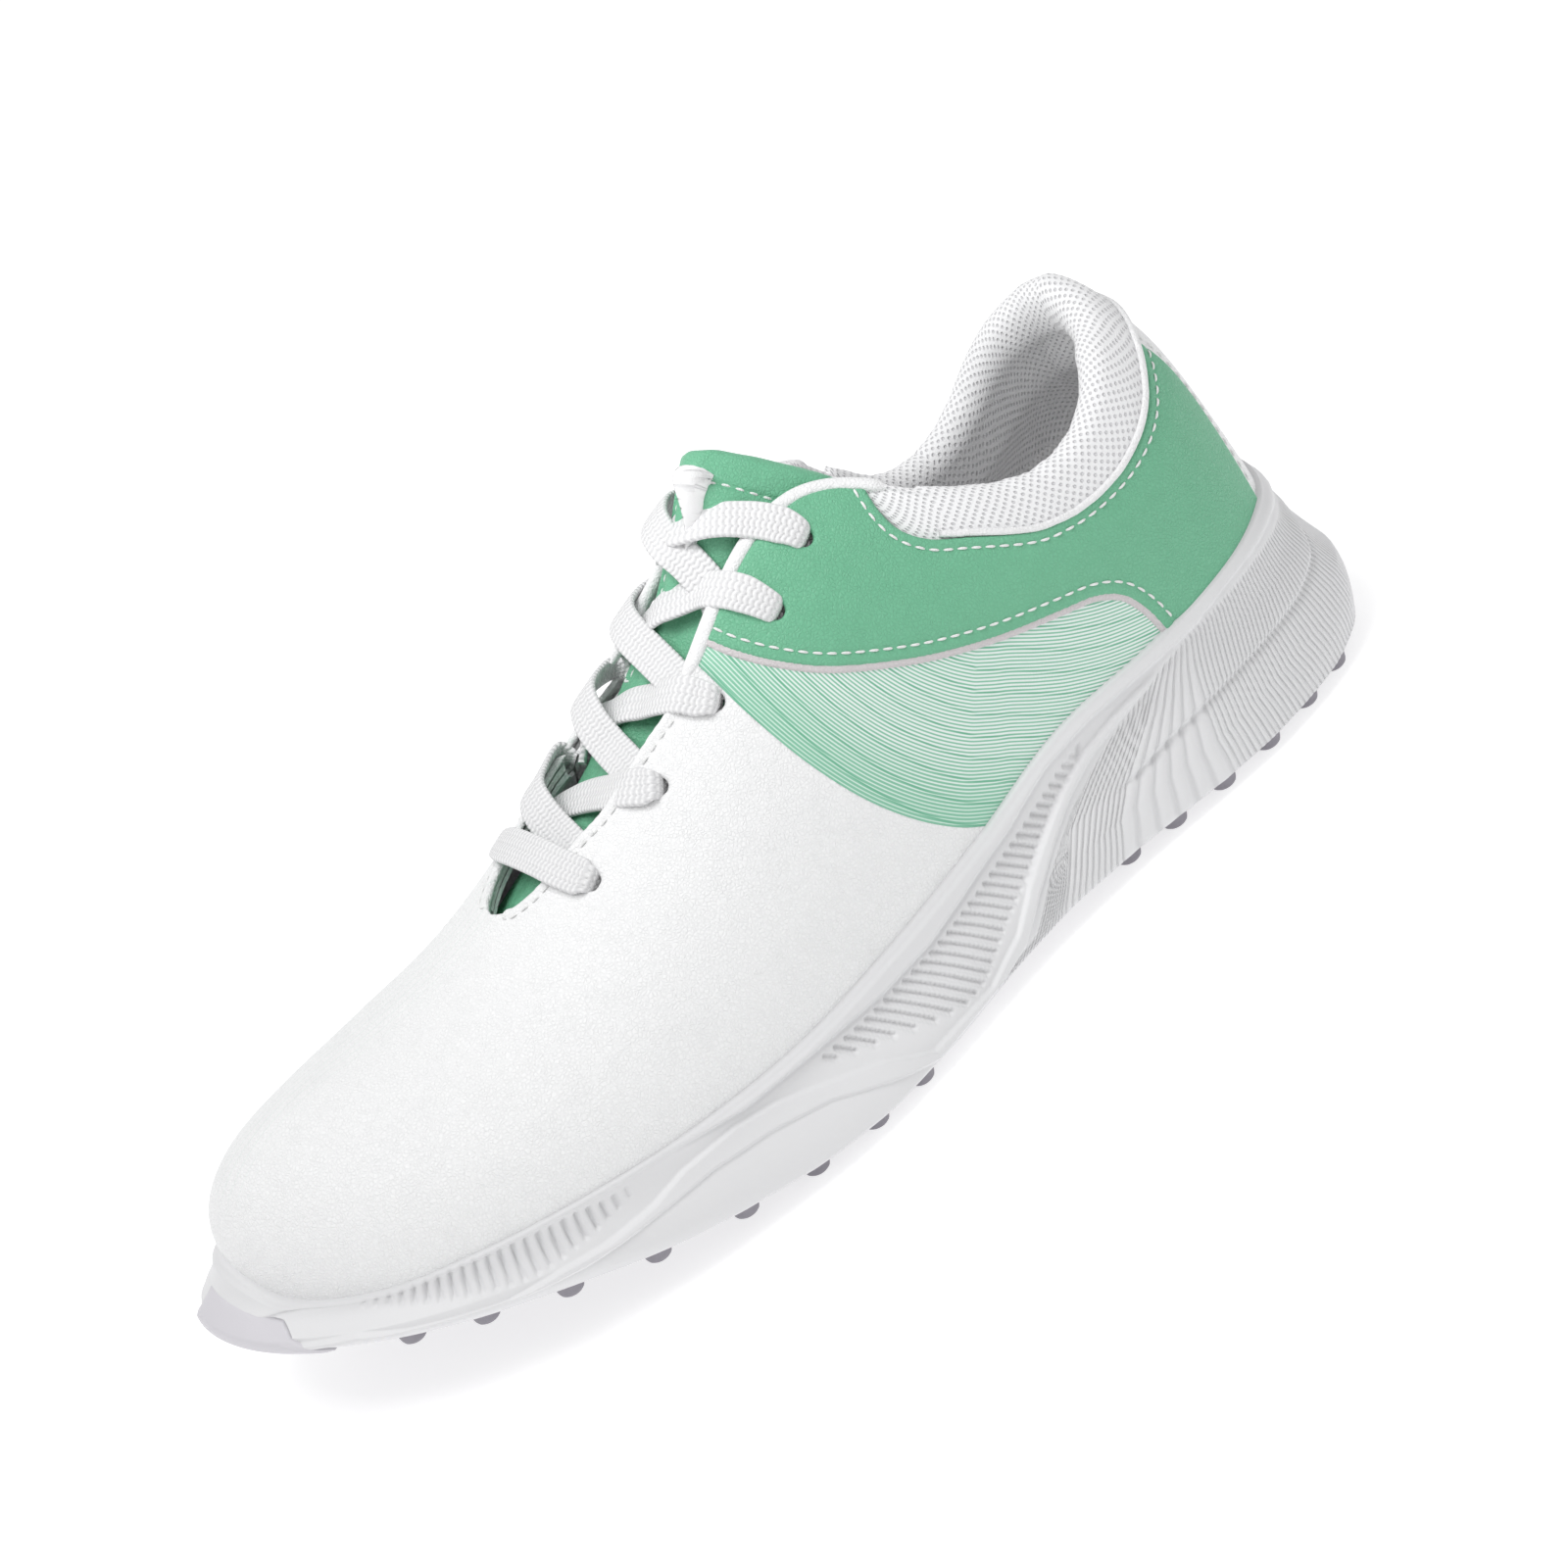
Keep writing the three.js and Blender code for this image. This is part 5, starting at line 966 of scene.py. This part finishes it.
for k in range(4):
    for side, table_ in ((1, COURSE_A), (-1, COURSE_B)):
        (ta, va), (tb, vb) = eyes[k][side], eyes[k + 1][-side]
        A, Bp, Bd = at(ta, va, 5.2), at(tb, vb, -0.95), at(tb, vb, 3.4); oA, oB = outward(ta, va), outward(tb, vb)
        C = [np.array([HALF - s_, y_, z_]) for s_, y_, z_ in table_[k]]
        dirB = unit(Bp - C[-1])
        ups = [unit(np.array([-0.42, 0.030 * (c[1] - 2), 1.0])) for c in C]; ups[-1] = unit(ups[-1] + oB)
        lace_band([A] + C + [Bp - dirB * 0.6, Bd + dirB * 0.5], [oA] + ups + [unit(oB + dirB * 0.35), unit(dirB + oB * 0.1)],
                  [5.5, 8.2, LW, LW, LW, LW, LW - 0.2, 6.4, 3.6], extra=0.0)
(ta, va), (tb, vb) = eyes[0][1], eyes[0][-1]
A, B_, Ad, Bd = at(ta, va, -0.95), at(tb, vb, -0.95), at(ta, va, 3.4), at(tb, vb, 3.4); oA, oB = outward(ta, va), outward(tb, vb)
C = [np.array([HALF - s_, y_, z_]) for s_, y_, z_ in ((192.3, 14.3, 71.6), (192.6, 6.5, 72.6), (192.6, -2, 72.6), (192.2, -9.5, 71.4), (191.2, -15.0, 69.8))]
dA, dB = unit(A - C[0]), unit(B_ - C[-1]); upc = [unit(np.array([-0.40, 0.034 * (c[1] - 2), 1.0])) for c in C]
lace_band([Ad + dA * .5, A - dA * .6] + C + [B_ - dB * .6, Bd + dB * .5], [unit(dA + oA * .1), unit(oA + dA * .35)] + upc + [unit(oB + dB * .35), unit(dB + oB * .1)],
          [3.6, 6.4, LW, LW, LW, LW, LW - 0.2, 6.4, 3.6])
V, F = merge(lace_parts)
make("lace_flat", V, F, M_LACE, replaces=("lace",), slot="lace_webbing", uv=np.vstack(lace_uv))

# ------------------------------------------------------------------ midsole
def pl(p):
    return np.array(p, float)


FOX = pl([[0, 36], [20, 36], [37, 36.2], [42, 35.8], [55.5, 35.6], [72.1, 33], [88.3, 33], [103.5, 32.7], [117.7, 30.8], [132.2, 25.6], [150.1, 21.8], [162.4, 19.8], [178.5, 19.4], [188.7, 20.2], [219.5, 22.3], [238.6, 25.9], [259.6, 28.1], [277.4, 29.1], [338.5, 29.6], [350, 29.6]])
SUP = pl([[82.4, 31.7], [98, 30], [107.7, 28.1], [117.2, 24.6], [127, 19.8], [136.9, 15.2], [146.5, 9.8], [158.7, 6.1], [178.5, 6.1], [189.3, 11.5], [199.3, 14.6], [214, 19.4], [224.3, 21.3], [238.6, 21.3], [247.9, 19.8], [260.7, 19.3], [272.1, 19.9], [284.2, 19.8], [294.4, 21.3], [304.8, 22.9], [316.3, 25.4], [334.5, 26.2], [350, 26.4]])
SLO = pl([[82.4, 30.2], [98, 28.4], [107.7, 26.3], [117.2, 22.6], [127, 17.6], [136.9, 12.6], [146.5, 7.0], [155, 5], [178.5, 4.0], [188, 7.1], [204.2, 13.1], [218.9, 16.2], [233.5, 17.9], [252.2, 18], [266.1, 17.9], [278.5, 18.8], [291.8, 20.9], [304.3, 22.6], [316.3, 24.0], [334.5, 24.6], [350, 24.8]])
FT = pl([[314.8, 28.9], [303.3, 28.8], [293.9, 29.2], [277.4, 28.3], [268.8, 27.3], [263.4, 27.1], [256.4, 25.7], [247.9, 24.9]]); FB = pl([[315.3, 28.2], [308.2, 27.1], [298.4, 25.6], [290.3, 23.9], [279.5, 21.8], [271.5, 21.4], [261.8, 22.2], [255.4, 23.1], [247.9, 24.2]])
RT = pl([[198.7, 18.8], [186.8, 18.1], [172.2, 18.1], [158.7, 18.5], [145.3, 20.2], [136.9, 21.9], [129.3, 23.7], [122.4, 25.7], [115.4, 28], [106.5, 30]]); RB = pl([[196.8, 17.1], [189.3, 14.5], [181.7, 12.4], [174.7, 9.8], [164.8, 7.4], [158.7, 8.2], [151.9, 10.8], [145.3, 13.4], [139.3, 15.3], [132.8, 17.7], [126.4, 20.8], [120.6, 23.8], [114.8, 26], [110.1, 27.9]])
RIBTOP = pl([[-10, 33.5], [48.8, 33.8], [73.3, 32.5], [82.4, 31.0], [92.5, 28.9], [102.3, 26.2], [117.2, 20.9], [132.2, 13.6], [142.3, 7.0], [155, 5.6]])
HGR = pl([[-5, 31], [16.3, 29.9], [22.8, 25.9], [29.9, 22.4], [42.9, 20.2], [59.5, 19.2], [75.6, 18.4], [91.3, 17.9], [101.7, 16.9]])
RIBS = [(-24, [(-24, 40), (-24, 0)]), (0, [(0, 40), (0, 0)]), (24, [(24, 40), (25, 20), (25.5, 0)]), (48.8, [(48.8, 33.8), (50.2, 26.4), (54, 20), (55.5, 12.6), (54.5, 4.7)]), (72.7, [(72.7, 31.4), (77.8, 21.5), (81.8, 11.7), (82.4, 4.5)]),
        (82.4, [(82.4, 31.7), (91.9, 24.5), (101.7, 19), (110.7, 12.3), (114.8, 5.5)]), (102.3, [(102.3, 26.9), (121.8, 17.6), (133.4, 6.9), (136, 3)]), (117.2, [(117.2, 21.7), (133, 12), (142.5, 5)]), (132.2, [(132.2, 15.2), (146, 8), (152, 4)]), (150, [(150, 9), (158, 5), (165, 2)])]


def along(poly, n):
    L = np.concatenate([[0], np.cumsum(np.linalg.norm(np.diff(poly, axis=0), axis=1))]); x = np.linspace(0, L[-1], n)
    return np.column_stack([np.interp(x, L, poly[:, 0]), np.interp(x, L, poly[:, 1])])


def capsule_dist(A, Z, a, b):
    d = b - a; L = max(float(d @ d), 1e-6); k = np.clip(((A - a[0]) * d[0] + (Z - a[1]) * d[1]) / L, 0, 1)
    return np.hypot(A - a[0] - k * d[0], Z - a[1] - k * d[1]), k


NT, NF = 1320, 84
Tm = np.linspace(0, N, NT, endpoint=False); Fm = np.linspace(0, 1, NF)
W0, O0 = wall(Tm[:, None], Fm[None, :])
wr = ring(WIDE, np.append(Tm, N)); seg = np.linalg.norm(np.diff(wr[:, :2], axis=0), axis=1); AR = np.concatenate([[0], np.cumsum(seg)]); TOT = AR[-1]; AR = AR[:-1]
# chart: arc length from the heel's centre line on the nearer side
heel_off = 0.0
A_ = np.where(AR < TOT / 2, AR, TOT - AR)[:, None] * np.ones((1, NF)); Z_ = W0[..., 2]
D = np.zeros_like(Z_)


def groove_line(poly, depth, w):
    z0 = np.interp(A_, poly[:, 0], poly[:, 1], left=-99, right=-99)
    slope = np.gradient(np.interp(np.arange(0, 352, 1.0), poly[:, 0], poly[:, 1])); cs = 1 / np.sqrt(1 + np.interp(A_, np.arange(0, 352, 1.0), slope) ** 2)
    return -depth * np.exp(-(((Z_ - z0) * cs) / w) ** 2)


fox = np.interp(A_, FOX[:, 0], FOX[:, 1])
D += 0.9 * sst(-0.5, 0.5, Z_ - fox)                       # band round the top stands proud
D += groove_line(FOX, 0.5, 0.45)
su, sl = np.interp(A_, SUP[:, 0], SUP[:, 1]), np.interp(A_, SLO[:, 0], SLO[:, 1])
inb = sst(82, 92, A_) * sst(350, 340, A_)
ridge = sst(-0.4, 0.5, su - Z_) * sst(-0.4, 0.5, Z_ - sl) * inb
D += 1.15 * ridge
D += 0.45 * sst(-0.6, 0.6, sl - Z_) * sst(60, 100, A_) * sst(-2, 8, A_ - 60)
def slot(a, b, w):
    L = float(np.linalg.norm(a - b))
    if L < 0.7:
        return
    m = np.abs(A_ - (a[0] + b[0]) / 2) < 16
    dd, kk = capsule_dist(A_[m], Z_[m], a, b)
    CUT[m] = np.maximum(CUT[m], 1.15 * sst(1.5, 0.3, dd / w) * min(1, L / 3))


CUT = np.zeros_like(D)
for a, b in zip(along(FT, 23), along(FB, 23)):
    slot(a, b, 0.52)
DX, DZ = -0.70, -0.714                      # every rear slot runs down toward the heel at the same slope
for wv in np.linspace(np.dot((198.7, 18.8), (-DZ, DX)), np.dot((108.5, 29.2), (-DZ, DX)), 33):
    f_t = RT @ np.array([-DZ, DX]); a = np.array([np.interp(wv, f_t[::-1], RT[::-1, 0]), np.interp(wv, f_t[::-1], RT[::-1, 1])])
    f_b = RB @ np.array([-DZ, DX]); o_ = np.argsort(f_b); b = np.array([np.interp(wv, f_b[o_], RB[o_, 0]), np.interp(wv, f_b[o_], RB[o_, 1])])
    slot(a, b, 0.5)
D -= CUT
zone = sst(-0.3, 0.5, np.interp(A_, RIBTOP[:, 0], RIBTOP[:, 1]) - Z_) * sst(160, 150, A_)
pos = np.stack([np.interp(Z_, np.array(p)[::-1, 1], np.array(p)[::-1, 0]) for _, p in RIBS], 0); lab = np.array([l for l, _ in RIBS])
phase = np.zeros_like(Z_)
for i in range(len(lab) - 1):
    a, b = pos[i], pos[i + 1]; m = (A_ >= a) & (A_ < b)
    phase[m] = (lab[i] + (lab[i + 1] - lab[i]) * (A_ - a) / np.maximum(b - a, 1e-3))[m]
lab_x = np.linspace(-30, 160, 400); pitch_ = 1.3 + 0.9 * sst(60, 100, lab_x); cum = np.concatenate([[0], np.cumsum(np.diff(lab_x) / pitch_[1:])])
turns = np.interp(phase, lab_x, cum)
D += zone * (0.16 * np.cos(2 * np.pi * turns) - 0.2)
# rib phase and zone for the foam shader, which bumps the grooves and paints shade into them
UVW = np.stack([turns, zone], -1)
hg = np.interp(A_, HGR[:, 0], HGR[:, 1]); hz = sst(112, 98, A_) * sst(10, 18, A_)
D += hz * (-0.5 * np.exp(-((Z_ - hg) / 0.9) ** 2) + 0.75 * sst(0, 1.2, Z_ - hg) * sst(9, 1.5, Z_ - hg))
D *= sst(0.0, 0.06, Fm)[None, :] * (1 - 0.6 * sst(0.97, 1.0, Fm))[None, :]
MS = W0 + O0 * D[..., None]
# inner faces: down from the feather line, and the bed and the underside as caps
inner_top = wall(Tm, np.zeros(NT))[0] - O0[:, 0] * 3.2; inner_top[:, 2] -= 0.4
bedz = tab(BED, HALF - inner_top[:, 0]); inner_bot = inner_top - O0[:, 0] * 0.4; inner_bot[:, 2] = bedz - 0.3
cove = W0[:, 0] - O0[:, 0] * 1.9; cove[:, 2] += 0.9
rows = [inner_bot, inner_top, cove] + [MS[:, j] for j in range(NF)]
u_in = MS[:, -1] - O0[:, 0] * 2.0; u_in[:, 2] = under(HALF - u_in[:, 0]) + 0.9; rows.append(u_in)
G = np.array(rows); ng = len(G)
Fs = grid_tris(ng, NT, True); V = G.reshape(-1, 3)
ctr_pts = []


def cap(row_index, up):
    """close a ring with strips between the two sides"""
    i = np.arange(1, NT // 2); a = row_index * NT + i; b = row_index * NT + i + 1; c = row_index * NT + (NT - i - 1) % NT; d = row_index * NT + (NT - i) % NT
    q = np.vstack([np.stack([a, b, d], 1), np.stack([b, c, d], 1)]); q = q[(q[:, 0] != q[:, 1]) & (q[:, 1] != q[:, 2]) & (q[:, 0] != q[:, 2])]
    q = np.vstack([q, [[row_index * NT, row_index * NT + 1, row_index * NT + NT - 1]]])
    return q if up else q[:, ::-1]


faces = np.vstack([Fs, cap(0, True), cap(ng - 1, False)])
uvm = np.concatenate([np.zeros((3, NT, 2)), UVW.transpose(1, 0, 2), np.zeros((1, NT, 2))])
make("midsole_sculpt", V, faces, M_FOAM, replaces=("midsole",), slot="midsole_foam", uv=uvm.reshape(-1, 2))

# ------------------------------------------------------------------ outsole: plate, toe wrap and lugs
no = 400
To = np.linspace(0, N, no, endpoint=False); Wp, Op = wall(To, np.ones(no)); prof = [(-3.4, 0.9), (-2.5, 0.35), (-2.0, -0.25), (-1.8, -0.7), (-2.1, -1.1), (-3.2, -1.35)]
rows = []
for off, dz in prof:
    P = Wp + Op * off; P[:, 2] = np.maximum(under(HALF - P[:, 0]) + dz + 0.9, 0.2); rows.append(P)
G = np.array(rows); NT_s = NT; NT = no
faces = np.vstack([grid_tris(len(rows), no, True), cap(0, True), cap(len(rows) - 1, False)]); NT = NT_s
parts = [(G.reshape(-1, 3), faces)]
wring = ring(WIDE, np.linspace(0, N, 540, endpoint=False))


def wide_y(s_, side):
    m = wring[side * wring[:, 1] > 3]; return float(m[np.argmin(np.abs(HALF - m[:, 0] - s_)), 1])


lugs = [(s_, wide_y(s_, -1) + tab(LUG_IN, s_)) for s_ in LUG_LAT] + [(s_, wide_y(s_, 1) - tab(LUG_IN, s_) - 2.2) for s_ in LUG_MED] + LUG_MID
for s_, y_ in lugs:
    zt = float(under(s_)) + 0.6; tip = 0.0 if under(s_) < 5.9 else float(under(s_)) - 0.3 - 3.7
    prof = [(3.8, zt), (3.5, zt - 0.8), (3.05, tip + 1.2), (2.75, tip + 0.5), (2.2, tip + 0.05), (1.4, tip), (0.8, tip + 0.25)]
    a = np.linspace(0, 2 * np.pi, 28, endpoint=False); R_ = []
    for r, z in prof:
        R_.append(np.column_stack([HALF - s_ + r * np.cos(a), y_ + r * np.sin(a), np.full(28, z)]))
    R_ = np.array(R_); V = np.vstack([R_.reshape(-1, 3), [[HALF - s_, y_, zt]], [[HALF - s_, y_, tip + 0.3]]])
    F = grid_tris(len(prof), 28, True)[:, ::-1]; i = np.arange(28); j = (i + 1) % 28; n = len(prof) * 28
    F = np.vstack([F, np.stack([np.full(28, n), i, j], 1), np.stack([np.full(28, n + 1), (len(prof) - 1) * 28 + j, (len(prof) - 1) * 28 + i], 1)])
    parts.append((V, F))
tw = np.linspace(12.5, 14.85, 90); rows = []
for i, t_ in enumerate(tw):
    e = min(1, math.sin(math.pi * i / 89) * 1.5 + 0.02); f_top = 1 - 0.72 * e
    fo = np.linspace(1, f_top, 20); out = [wall(t_, f, 0.9 * min(1, 6 * (f - f_top) + .2) + 0.9)[0] for f in fo]
    inn = [wall(t_, f, -0.4)[0] for f in fo[::-1]]
    rows.append(np.array(out + inn))
R_ = np.array(rows); F = grid_tris(len(rows), R_.shape[1], True)
c0 = R_.shape[0] * R_.shape[1]; V = np.vstack([R_.reshape(-1, 3), R_[0].mean(0)[None], R_[-1].mean(0)[None]]); i = np.arange(R_.shape[1]); j = (i + 1) % R_.shape[1]
F = np.vstack([F, np.stack([np.full(len(i), c0), i, j], 1), np.stack([np.full(len(i), c0 + 1), (len(rows) - 1) * R_.shape[1] + j, (len(rows) - 1) * R_.shape[1] + i], 1)])
make("toe_wrap", V, F, M_WRAP, slot="outsole_rubber")
V, F = merge(parts)
make("outsole_lugged", V, F, M_RUBBER, replaces=("outsole",), slot="outsole_rubber")

# ------------------------------------------------------------------ sockliner
ns = 260
lo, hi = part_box("sockliner")
Ts = np.linspace(0, N, ns, endpoint=False); c = ring(COL, Ts)[:, :3]; w = ring(WIDE, Ts); o = w - np.stack([np.clip(c[:, 0], -95, 110), np.ones(ns), np.zeros(ns)], 1); o[:, 2] = 0; o = unit(o)
rows = []
for inset, dz in ((6.2, 2.2), (5.3, 2.4), (4.9, 3.2), (4.7, 5.0), (4.9, 5.9), (5.6, 6.35), (8.0, 6.3)):
    P = c - o * inset; P[:, 2] = tab(BED, HALF - P[:, 0]) + dz; rows.append(P)
G = np.array(rows); NT = ns
faces = np.vstack([grid_tris(len(rows), ns, True)[:, ::-1], cap(0, False), cap(len(rows) - 1, True)]); NT = NT_s
sk = make("sockliner_soft", G.reshape(-1, 3), faces, M_SOCK, "insole", ("sockliner",), "sockliner")

# ------------------------------------------------------------------ room, lights, camera
scene = bpy.context.scene
w = bpy.data.worlds.new("room"); scene.world = w; w.use_nodes = True
w.node_tree.nodes["Background"].inputs[0].default_value = (1, 1, 1, 1); w.node_tree.nodes["Background"].inputs[1].default_value = 0.53
fm_, nt, b = node_mat("floor_mat", (0.58, 0.58, 0.585), 0.9, **{"Emission Color": (1, 1, 1, 1), "Emission Strength": 0.67, "Specular IOR Level": 0.0})
me = bpy.data.meshes.new("floor"); me.from_pydata([(-9, -9, 0), (9, -9, 0), (9, 9, 0), (-9, 9, 0)], [], [(0, 1, 2, 3)])
fl = bpy.data.objects.new("floor", me); scene.collection.objects.link(fl); me.materials.append(fm_)


def area(name, loc, target, size, power, color=(1, 1, 1)):
    l = bpy.data.lights.new(name, "AREA"); l.shape = "RECTANGLE"; l.size, l.size_y = size; l.energy = power; l.color = color
    o = bpy.data.objects.new(name, l); scene.collection.objects.link(o); o.location = loc
    o.rotation_mode = "QUATERNION"; o.rotation_quaternion = (Vector(target) - Vector(loc)).to_track_quat("-Z", "Y")
    return o


area("key", (-0.42, -0.12, 1.15), (0, 0, 0.05), (0.7, 0.6), 5.9)
area("mouth", (-0.01, -0.03, 0.30), (0.13, 0.01, 0.06), (0.09, 0.06), 0.16)
area("fill", (0.9, -0.9, 0.45), (0, 0, 0.05), (0.9, 0.9), 0.9)
area("back", (-0.3, 1.0, 0.9), (0, 0, 0.05), (1.0, 0.7), 1.3)
AZ, EL, ROLL, DIST = math.radians(-20), math.radians(27), math.radians(30.12), 1.4
back = Vector((math.sin(AZ) * math.cos(EL), -math.cos(AZ) * math.cos(EL), math.sin(EL))); right = Vector((math.cos(AZ), math.sin(AZ), 0)); up = back.cross(right)
cr = math.cos(ROLL) * right - math.sin(ROLL) * up; cu = math.sin(ROLL) * right + math.cos(ROLL) * up
tgt = Vector((0.013565, 0.00345, 0.047861)); cam = bpy.data.objects.new("camera", bpy.data.cameras.new("camera")); scene.collection.objects.link(cam); scene.camera = cam
cam.location = tgt + back * DIST; M3 = Matrix((cr, cu, back)).transposed(); cam.rotation_mode = "QUATERNION"; cam.rotation_quaternion = M3.to_quaternion()
cam.data.lens = 150.54; cam.data.sensor_width = 36; cam.data.clip_start = 0.05; cam.data.clip_end = 60
scene.view_settings.view_transform = "Standard"
